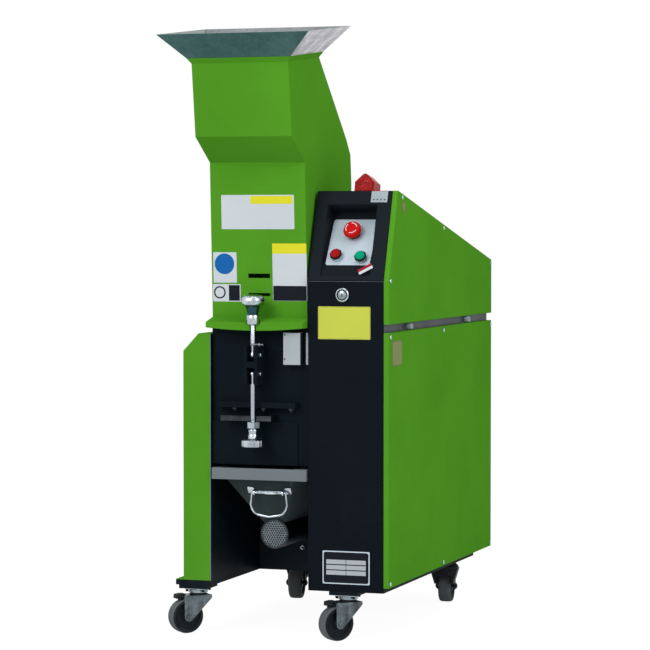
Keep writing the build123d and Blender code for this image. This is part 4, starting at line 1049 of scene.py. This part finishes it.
class CRUSHER_OT_clamp(bpy.types.Operator):
    """Swing bolts with the star knob and the ribbed hand wheel, and the clevis that holds them"""

    bl_idname = "crusher.clamp"
    bl_label = "Clamp bolts"

    def execute(self, context):
        self.star_knob(hardware().knob_lobes)
        self.hand_wheel(hardware().wheel_ribs)
        for level, way in (("upper", 1), ("lower", -1)):
            self.bolt(level, way)
        self.clevis()
        return {"FINISHED"}

    @staticmethod
    def star_knob(lobes):
        """A knob with soft lobes on a neck painted dark teal as a reflection in the chrome, and an
        eight-sided nut.
        """
        place, tall = on_axis("upper_knob", UP)
        mesh = bmesh.new()
        nut = [(5.2, 0), (13.4, 0), (14.4, 1.2), (14.4, 18.6), (13.4, 20), (11.8, 20.2)]
        turned(mesh, nut, place, steps=8)
        neck = [(11.8, 20), (11.6, 22), (12.6, 28), (14.6, 35), (16.4, tall - 24.4)]
        # The neck's dark teal is a painted reflection in the chrome.
        turned(mesh, neck, place, material=1)

        def star(radius, angle):
            return radius * (1 - 0.012 * (1 - math.cos(lobes * angle))) if radius > 17 else radius

        head = [(16.4, -24.4), (21.6, -23), (25, -20), (26, -15.5), (25.6, -10)]
        head += [(23.2, -4.6), (18.4, -1.4), (9, -0.2), (0, 0)]
        turned(mesh, [(r, tall + z) for r, z in head], place, steps=72, wave=star)
        looks, node = ["chrome", "blued"], ("upper_knob",)
        add_piece(mesh, "star_knob", "upper_bolt", "chrome", looks, node, sharp=42)

    @staticmethod
    def hand_wheel(ribs):
        """A ribbed disc on a waisted neck and a six-sided nut."""
        place, tall = on_axis("lower_hand_wheel", -UP)
        mesh = bmesh.new()
        nut = [(5.2, 0), (13.4, 0), (15.0, 1.2), (15.0, 13.8), (13.4, 15), (8, 15.2)]
        turned(mesh, nut, place, steps=6)
        neck = [(8, 15), (10.4, 17.6), (10.6, 21), (9.2, 24), (10.2, 29), (13.5, 36)]
        turned(mesh, [*neck, (18.5, tall - 16.9)], place)

        def ribbed(radius, angle):
            return radius - 0.25 * (1 - math.cos(ribs * angle)) if radius > 22 else radius

        disc = [(18.5, -16.9), (24, -16.4), (25.8, -14.6), (25.8, -3.2), (24.8, -1.2)]
        disc += [(20.6, 0), (12, 0), (9, -1.2), (0, -1.2)]
        turned(mesh, [(r, tall + z) for r, z in disc], place, steps=144, wave=ribbed)
        looks, node = ["chrome"], ("lower_hand_wheel",)
        add_piece(mesh, "hand_wheel", "lower_bolt", "chrome", looks, node, sharp=42)

    @staticmethod
    def bolt(level, way):
        """A plated rod with a ball eye on its pivot."""
        node = level + "_swing_bolt"
        low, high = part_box(node)
        pivot = joint_of(level + "_bolt_swing")[1]
        reach = (high.z - pivot.z if way > 0 else pivot.z - low.z - 0.008) / MM
        turns = [0.4 * step for step in range(1, 7)]
        ball = [(0, -7.5), *[(7.5 * math.sin(a), -7.5 * math.cos(a)) for a in turns]]
        rod = [*ball, (5, 6.4), (5, reach - 0.8), (4.2, reach), (0, reach)]
        mesh = bmesh.new()
        turned(mesh, rod, facing(pivot, UP * way), steps=32)
        add_piece(mesh, level + "_rod", level + "_bolt", "chrome", ["rod"], (node,), sharp=50)

    @staticmethod
    def clevis():
        """The bracket, its two plated pins and the stub of a bolt on top."""
        dress("clamp_bracket", "clevis", "machine", "black_paint", "chamber", 1.2)
        low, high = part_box("clamp_bracket")
        mesh = bmesh.new()
        pin = [(5.5, 0), (5.5, 3.6), (4.4, 4.6), (2.4, 5), (0, 5)]
        for joint in ("upper_bolt_swing", "lower_bolt_swing"):
            pivot = joint_of(joint)[1]
            for side, edge in ((1, high.x), (-1, low.x)):
                spot = Vector((edge - side * 0.0018, pivot.y, pivot.z))
                turned(mesh, pin, facing(spot, ACROSS * side, FRONT), steps=24)
        stub = Vector(((low.x + high.x) / 2, low.y + 0.003, high.z + 0.003))
        bolt = [(0, 0), (2.4, 0), (2.4, 18), (4.6, 18), (4.6, 22), (2.4, 22), (2.4, 29), (0, 29)]
        turned(mesh, bolt, facing(stub, ACROSS, FRONT), steps=12, material=1)
        add_piece(mesh, "clevis_pins", "machine", "black_paint", ["screw", "zinc"])


class CRUSHER_OT_bin(bpy.types.Operator):
    """Perforated cap of the suction pipe, handle plate, wire bail and the bay's eyelet"""

    bl_idname = "crusher.bin"
    bl_label = "Collecting bin"

    def execute(self, context):
        self.cap(hardware())
        self.handle()
        dress("bin_bail", "bail_wire", "bail", "zinc", "chrome")
        mesh = bmesh.new()
        eyelet = [(2.4, 0), (4.8, 0), (5.0, 1.5), (4.2, 2.6), (3.2, 2.4), (2.4, 0.4)]
        back = (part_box("rear_cross_plate")[0].y - door_low.y) / MM
        spot = at(-203.2 - 0.348 * (back - 60), back, 191.6 - 0.127 * (back - 60))
        turned(mesh, eyelet, facing(spot, FRONT))
        add_piece(mesh, "bay_eyelet", "machine", "zinc", ["screw"])
        return {"FINISHED"}

    @staticmethod
    def cap(h):
        """A perforated sheet in a rounded rim, with a dark disc behind it as painted shade inside
        the pipe.
        """
        place, thick = on_axis("perforated_cap", FRONT)
        low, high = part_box("perforated_cap")
        radius = (high.x - low.x) / 2
        sizes = {
            "Radius": radius - 0.6 * h.hole_pitch,
            "Pitch": h.hole_pitch,
            "Hole share": h.hole_share,
            "Thickness": 0.0012,
        }
        data = grown(shared("Perforated sheet", perforation_tree), sizes, "perforated")
        data.transform(shifted(place, 0, 0, thick - 0.6))
        add_mesh(data, "cap_grille", "bin", "zinc", ["perforated"], ("perforated_cap",))
        mesh = bmesh.new()
        edge = radius / MM
        rim = [(edge, 0), (edge, thick - 0.6), (edge - 0.7, thick), (edge - 2.6, thick)]
        turned(mesh, [*rim, (edge - 3.1, thick - 1.6)], place, steps=64)
        # The dark disc behind the holes is painted shade of the pipe's inside.
        turned(mesh, [(edge - 1, 0.2), (0, 0.2)], place, steps=64, material=1)
        add_piece(mesh, "cap_rim", "bin", "zinc", ["rail_grey", "brake"])

    @staticmethod
    def handle():
        """The handle plate with a curved lip on its outer face."""
        node = "bin_handle_plate"
        mesh, out, centre = merged(node), front_of(node), middle(node)
        face = max(mesh.faces, key=lambda side: side.calc_area() * (side.normal.dot(out) > 0.9))
        lip = facing(centre + out * (face.calc_center_median() - centre).dot(out), out)
        half = [(0, -6.2), (8, -6), (14, -5.4), (17.5, -4.4)]
        curve = [(-x, y) for x, y in half[:0:-1]] + half
        tube(mesh, [lip @ mm(x, y, 0.4) for x, y in curve], 0.0028)
        add_piece(mesh, "handle_plate", "bin", "zinc", ["chrome"], (node,), soft=0.6)


class CRUSHER_OT_casters(bpy.types.Operator):
    """Wheels with tread, tyre wall and hub, pressed forks, axle nuts and brake pedals"""

    bl_idname = "crusher.casters"
    bl_label = "Casters"

    def execute(self, context):
        dress("caster_plates", "top_plates", "machine", "zinc", "screw", 0.8)
        underside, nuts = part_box("caster_plates")[0].z + 0.0001, bmesh.new()
        nut = [(0, 0), (3.4, 0), (3.4, 4.4), (2.6, 5.2), (0, 5.2)]
        for name in CASTERS:
            joint, hub = joint_of(name + "_roll")
            place = facing(hub, joint["axis"], UP)
            kingpin = joint_of(name + "_swivel")[1]
            self.wheel(name, place)
            self.fork(name, place, kingpin)
            if name.startswith("front"):
                for across, back in ((19, 19), (-19, 19), (-19, -19), (19, -19)):
                    spot = Vector((kingpin.x + across * MM, kingpin.y + back * MM, underside))
                    turned(nuts, nut, facing(spot, -UP), steps=6)
        add_piece(nuts, "plate_nuts", "machine", "zinc", ["brake"])
        return {"FINISHED"}

    @staticmethod
    def wheel(name, place):
        """A tyre with a crowned tread and a dished hub, turned about its axle."""
        half = [(4.1, 14), (9.2, 14), (10.2, 13), (11, 10.5), (25.5, 10), (27.5, 12.6)]
        half += [(29.5, 15.2), (32.5, 15.6), (35, 14.5), (36.6, 12.2), (37.3, 9), (37.49, 4)]
        outline = [(r, -z) for r, z in half] + [(r, z) for r, z in reversed(half)]
        mesh, back = bmesh.new(), place.inverted()
        for face in turned(mesh, [*outline, outline[0]], place, steps=64):
            spot = back @ face.calc_center_median()
            radius = math.hypot(spot.x, spot.y) / MM
            face.material_index = 2 if radius > 35.5 else 0 if radius > 27 else 1
        looks, node = ["rubber", "hub", "tread"], ("caster_wheel_" + name,)
        name = "wheel_" + name
        add_piece(mesh, name, name, "wheel_rubber", looks, node, sharp=34)

    @staticmethod
    def fork(name, place, kingpin):
        """A pressed fork with axle nuts; in front with race and pedal, behind with a shroud."""
        front, node = name.startswith("front"), "caster_fork_" + name
        trail = Vector((place.translation.x - kingpin.x, place.translation.y - kingpin.y, 0))
        reach, axle, hip = trail.length / MM, place.translation.z / MM, kingpin.z / MM - 12
        foot = Vector((kingpin.x, kingpin.y, 0))
        side = facing(foot, trail.cross((0, 0, 1)), trail)
        turn = facing(foot, UP)
        if front:
            mesh = bmesh.new()
            eye = [math.radians(225 + 135 * step / 8) for step in range(9)]
            eye = [(reach + 10.5 * math.cos(a), axle + 10.5 * math.sin(a)) for a in eye]
            leg = [(-24, hip), (-24, hip - 7), *eye, (reach + 10.5, hip)]
            for low, high in ((18.5, 21.5), (-21.5, -18.5)):
                prism(mesh, side, leg, low, high)
            crown = [(-24, hip - 4), (reach + 10.5, hip - 4), (reach + 10.5, hip), (-24, hip)]
            prism(mesh, side, crown, -18.6, 18.6)
            race = [(0, 0), (20.5, 0), (20.5, 1), (18, 1.4), (18, 3.8)]
            race += [(21.4, 4.6), (21.4, 11.4), (0, 11.4)]
            # The race's lower ring and its groove are painted dark as shade in the gap.
            for face in turned(mesh, [(r, hip + z) for r, z in race], turn):
                face.material_index = 1 if face.calc_center_median().z < (hip + 3.9) * MM else 2
            pedal = [(34, 0.2), (34, 3.6), (reach + 14, 4.2), (reach + 25, 2.4)]
            pedal += [(reach + 26, -6.4), (reach + 14, -7.4), (reach + 12, 0.2)]
            prism(mesh, side, [(x, hip + z) for x, z in pedal], -9, 9, 1)
        else:
            mesh = merged(node)
            shroud = [(-19, hip - 17), (-16.6, hip - 17), (-16.6, hip - 3.9), (-19, hip - 3.9)]
            prism(mesh, side, shroud, -18.6, 18.6)
            skirt = [(20.9, 0), (33, 0), (33, 5), (27, 11.4), (20.9, 11.4)]
            turned(mesh, [(r, hip + z) for r, z in skirt], turn)
        nut = [(0, 0), (6.6, 0), (6.6, 2.6), (5.6, 3.6), (3.6, 3.6), (3.2, 4.6), (0, 4.8)]
        out = side.to_3x3().col[2]
        for way in (1, -1):
            spot = place.translation + out * (way * 0.0214)
            turned(mesh, nut, facing(spot, out * way, UP), steps=6)
        looks = ["zinc" if front else "brake", "brake", "perforated"]
        name = "fork_" + name
        add_piece(mesh, name, name, "zinc", looks, (node,), soft=0.8)


HOPPER_PLATES = (
    # Across and up on the duct, then the slabs
    (-285.5, 921, (167, 74, 0.5, 2), (96, 17, 0.7, 1, 1, 32, 26)),
    (-363, 801, (54, 66, 0.5, 1.5)),
    (-360, 746, (64, 38, 0.5, 1), (25, 34, 0.7, 1, 3, 17.5)),
    (-214.6, 791.5, (78, 124, 0.5, 1), (78, 22, 0.7, 1, 1, 0, 51), (76, 32, 0.7, 1, 3, 0, -45.5)),
)


class CRUSHER_OT_plates(bpy.types.Operator):
    """Blank plates and printed films: hopper, door, side covers, data plate, panel and switch"""

    bl_idname = "crusher.plates"
    bl_label = "Blank plates"

    def execute(self, context):
        self.on_hopper()
        mesh = bmesh.new()
        door = facing(at(-88.3, 0, 684), FRONT)
        sheets = ((117.5, 70, 0.4, 1.5), (114.5, 67, 0.45, 1.2, 1), (113.7, 66.2, 0.5, 1))
        slabs(mesh, door, *sheets)
        self.add(mesh, "door_film", ["pale_yellow", "olive_print"])
        self.on_side()
        self.data_plate()
        mesh = bmesh.new()
        spot = at(-43, 8, 799) + PANEL_OUT * 0.002
        tag = facing(spot, PANEL_OUT, ACROSS + PANEL_UP * 0.55)
        slabs(mesh, tag, (33, 6, 0.5, 1, 0, 0, 3), (33, 6, 0.5, 1, 1, 0, -3))
        self.add(mesh, "panel_tag", ["red_print", "white_print"])
        self.bare_edges()
        self.switch()
        return {"FINISHED"}

    @staticmethod
    def add(mesh, name, looks):
        add_piece(mesh, name, "machine", "plate_grey", looks)

    def on_hopper(self):
        """Four plates on the duct, one with a disc and one with a ring."""
        out = ACROSS.cross(DUCT_UP)
        duct = at(0, 14, 684)

        def on_duct(x, z):
            rise = DUCT_UP * ((z - 684) / DUCT_UP.z * MM)
            return facing(duct + ACROSS * (x * MM) + rise, out, ACROSS)

        mesh = bmesh.new()
        for x, z, *rows in HOPPER_PLATES:
            slabs(mesh, on_duct(x, z), *rows)
        disc = [(0, 0.1), (22.5, 0.1), (22.5, 0.8), (0, 0.8)]
        turned(mesh, disc, on_duct(-364, 809), material=2)
        ring = [(10.5, 0.1), (13.5, 0.1), (13.5, 0.8), (10.5, 0.8), (10.5, 0.1)]
        turned(mesh, ring, shifted(on_duct(-360, 746), -16, 1), material=3)
        self.add(mesh, "hopper_plates", ["white_print", "yellow_print", "blue_print", "dark_print"])

    def on_side(self):
        """Two framed tags on the side covers, each with four rivets."""
        mesh = bmesh.new()
        covers = frame["nodes"]["side_cover_lower"].data.polygons
        outer = [face for face in covers if face.normal.x > 0.99]
        side = max(outer, key=lambda face: face.area).center.x
        for y, z, width, height in ((103.7, 932, 22, 21.5), (56.5, 618.4, 70.5, 53)):
            tag = facing(Vector((side, at(0, y, 0).y, z * MM)), ACROSS, Vector((0, 1, 0)))
            slabs(mesh, tag, (width, height, 0.5, 1.2), (width - 5, height - 5, 0.6, 1, 1))
            for across in (-1, 1):
                for up in (-1, 1):
                    corner = shifted(tag, across * (width / 2 - 2.2), up * (height / 2 - 2.2))
                    turned(mesh, [(1.1, 0.3), (1.1, 1.0), (0, 1.2)], corner, steps=10)
        self.add(mesh, "side_tags", ["olive_print", "khaki_print"])

    def data_plate(self):
        """A plate with two columns of three blank fields and a screw in each corner."""
        mesh = bmesh.new()
        place = facing(at(-83.7, 0, 159.4), FRONT)
        slabs(mesh, place, (106, 71, 0.8, 2), (101, 66, 1.0, 1, 1))
        for row in range(3):
            for column in (-1, 1):
                slab(mesh, place, 44, 9.4, 1.2, 0.6, 2, column * 22.6, 12 - row * 11.6)
        for x, y in ((-50, 32.6), (50, 32.6), (-50, -32.6), (50, -32.6)):
            turned(mesh, [(1.7, 0.5), (1.7, 1.4), (0, 1.6)], shifted(place, x, y), steps=12)
        self.add(mesh, "data_plate", ["plate", "dark_print", "grey_print"])

    @staticmethod
    def bare_edges():
        """Painted highlights: light strips along the door's upper edge and along the left column's
        fold.
        """
        mesh = bmesh.new()
        low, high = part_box("left_cover")
        edge = Vector((door_low.x, door_low.y - 0.0004, door_high.z))
        lump(mesh, edge, Vector((door_high.x, door_low.y + 0.001, door_high.z + 0.0005)))
        fold = Vector((high.x - 0.0014, low.y - 0.0003, low.z + 0.002))
        lump(mesh, fold, Vector((high.x, low.y + 0.001, high.z - 0.002)))
        add_piece(mesh, "bare_edges", "machine", "zinc", ["bar_grey"])

    @staticmethod
    def switch():
        """The switch cover, with painted shade on its right side, and two screws."""
        low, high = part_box("switch_cover")
        mesh = merged("switch_cover")
        for face in mesh.faces:
            # Right-facing faces take the dark frame finish as painted shade.
            face.material_index = int(face.normal.x > 0.7)
        looks, node = ["switch_grey", "frame_black"], ("switch_cover",)
        add_piece(mesh, "switch_plate", "machine", "plate_grey", looks, node, soft=0.8)
        heights = (low.z + 0.0125, high.z - 0.0045)
        spots = [(Vector((low.x + 0.0035, low.y, z)), FRONT) for z in heights]
        screws("switch_screws", "plate_grey", spots, "machined", 0.0018, 0.0008)


LIGHTS = (
    # Name, place, target and size in metres
    ("key", (-1.5, -4.4, 2.9), (0, 0, 0.7), 2.2),
    ("fill", (2.6, -1.3, 2.1), (0, 0, 0.8), 1.6),
    ("top", (0.2, -0.4, 4.2), (0, 0, 0.6), 2.4),
)


class CRUSHER_OT_stage(bpy.types.Operator):
    """Floor, lights and camera"""

    bl_idname = "crusher.stage"
    bl_label = "Stage"

    def execute(self, context):
        s = context.scene.crusher_stage
        mesh = bmesh.new()
        bmesh.ops.create_grid(mesh, x_segments=1, y_segments=1, size=14)
        data = bpy.data.meshes.new("floor")
        mesh.to_mesh(data)
        mesh.free()
        data.materials.append(self.floor_finish())
        floor = bpy.data.objects.new("floor", data)
        context.scene.collection.objects.link(floor)
        self.world(s.world)
        for name, spot, target, size in LIGHTS:
            light = bpy.data.lights.new(name, "AREA")
            light.energy = getattr(s, name)
            light.size = size
            self.aimed(name, light, spot, Vector(target) - Vector(spot))
        camera = bpy.data.cameras.new("camera")
        camera.sensor_width = 36
        camera.lens = s.focal
        camera.clip_start, camera.clip_end = 0.1, 100
        level = math.cos(CAMERA_PITCH)
        across, ahead = -math.sin(CAMERA_AZIMUTH) * level, math.cos(CAMERA_AZIMUTH) * level
        look = Vector((across, ahead, -math.sin(CAMERA_PITCH)))
        context.scene.camera = self.aimed("camera", camera, CAMERA_PLACE, look)
        context.scene.view_settings.view_transform = "Standard"
        return {"FINISHED"}

    @staticmethod
    def aimed(name, data, place, look):
        """A lamp or a camera in the scene that looks along a direction."""
        item = bpy.data.objects.new(name, data)
        item.location = place
        item.rotation_mode = "QUATERNION"
        item.rotation_quaternion = look.to_track_quat("-Z", "Y")
        bpy.context.scene.collection.objects.link(item)
        return item

    @staticmethod
    def looked_at(nodes):
        """1 where the camera looks, straight or in a mirror or through glass, and 0 elsewhere."""
        path = nodes.add("ShaderNodeLightPath").outputs
        mirrored = nodes.calc("MAXIMUM", path["Is Glossy Ray"], path["Is Transmission Ray"])
        return nodes.calc("MAXIMUM", path["Is Camera Ray"], mirrored)

    def floor_finish(self):
        """Pale floor that looks white to the camera and keeps the shadow."""
        material = bpy.data.materials.new("pale_floor")
        nodes = cleared(material)
        matt = nodes.first("ShaderNodeBsdfDiffuse", {"Color": (0.66, 0.66, 0.66, 1)})
        glow = nodes.first("ShaderNodeEmission", {"Strength": 1.16})
        share = nodes.times(self.looked_at(nodes), 0.82)
        mix = nodes.first("ShaderNodeMixShader", {0: share, 1: matt, 2: glow})
        nodes.add("ShaderNodeOutputMaterial", {"Surface": mix})
        return material

    def world(self, strength):
        """Soft light all round, and white where it is seen or mirrored."""
        world = bpy.data.worlds.new("studio")
        bpy.context.scene.world = world
        nodes = cleared(world)
        power = nodes.ramp(self.looked_at(nodes), 0, 1, strength, 1)
        values = {"Strength": power, "Color": (1, 1, 1, 1)}
        nodes.add("ShaderNodeOutputWorld", {"Surface": nodes.first("ShaderNodeBackground", values)})


OPERATORS = (
    CRUSHER_OT_finishes,
    CRUSHER_OT_sheets,
    CRUSHER_OT_mouth,
    CRUSHER_OT_covers,
    CRUSHER_OT_controls,
    CRUSHER_OT_lock_and_lamp,
    CRUSHER_OT_clamp,
    CRUSHER_OT_bin,
    CRUSHER_OT_casters,
    CRUSHER_OT_plates,
    CRUSHER_OT_stage,
)


class CRUSHER_PT_panel(bpy.types.Panel):
    """Lists the steps that dress the crusher"""

    bl_label = "Crusher"
    bl_idname = "CRUSHER_PT_panel"
    bl_space_type = "VIEW_3D"
    bl_region_type = "UI"
    bl_category = "Crusher"

    def draw(self, context):
        for group in ("crusher_paint", "crusher_hardware", "crusher_stage"):
            values = getattr(context.scene, group)
            box = self.layout.box()
            for key in values.__annotations__:
                box.prop(values, key)
        for step in OPERATORS:
            self.layout.operator(step.bl_idname)


CLASSES = (CrusherPaint, CrusherHardware, CrusherStage, *OPERATORS, CRUSHER_PT_panel)


def register():
    for item in CLASSES:
        bpy.utils.register_class(item)
    bpy.types.Scene.crusher_paint = PointerProperty(type=CrusherPaint)
    bpy.types.Scene.crusher_hardware = PointerProperty(type=CrusherHardware)
    bpy.types.Scene.crusher_stage = PointerProperty(type=CrusherStage)


def unregister():
    del bpy.types.Scene.crusher_stage
    del bpy.types.Scene.crusher_hardware
    del bpy.types.Scene.crusher_paint
    for item in reversed(CLASSES):
        bpy.utils.unregister_class(item)


def main():
    """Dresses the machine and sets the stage."""
    register()
    for step in OPERATORS:
        group, name = step.bl_idname.split(".")
        getattr(getattr(bpy.ops, group), name)()


if __name__ == "__main__":
    main()
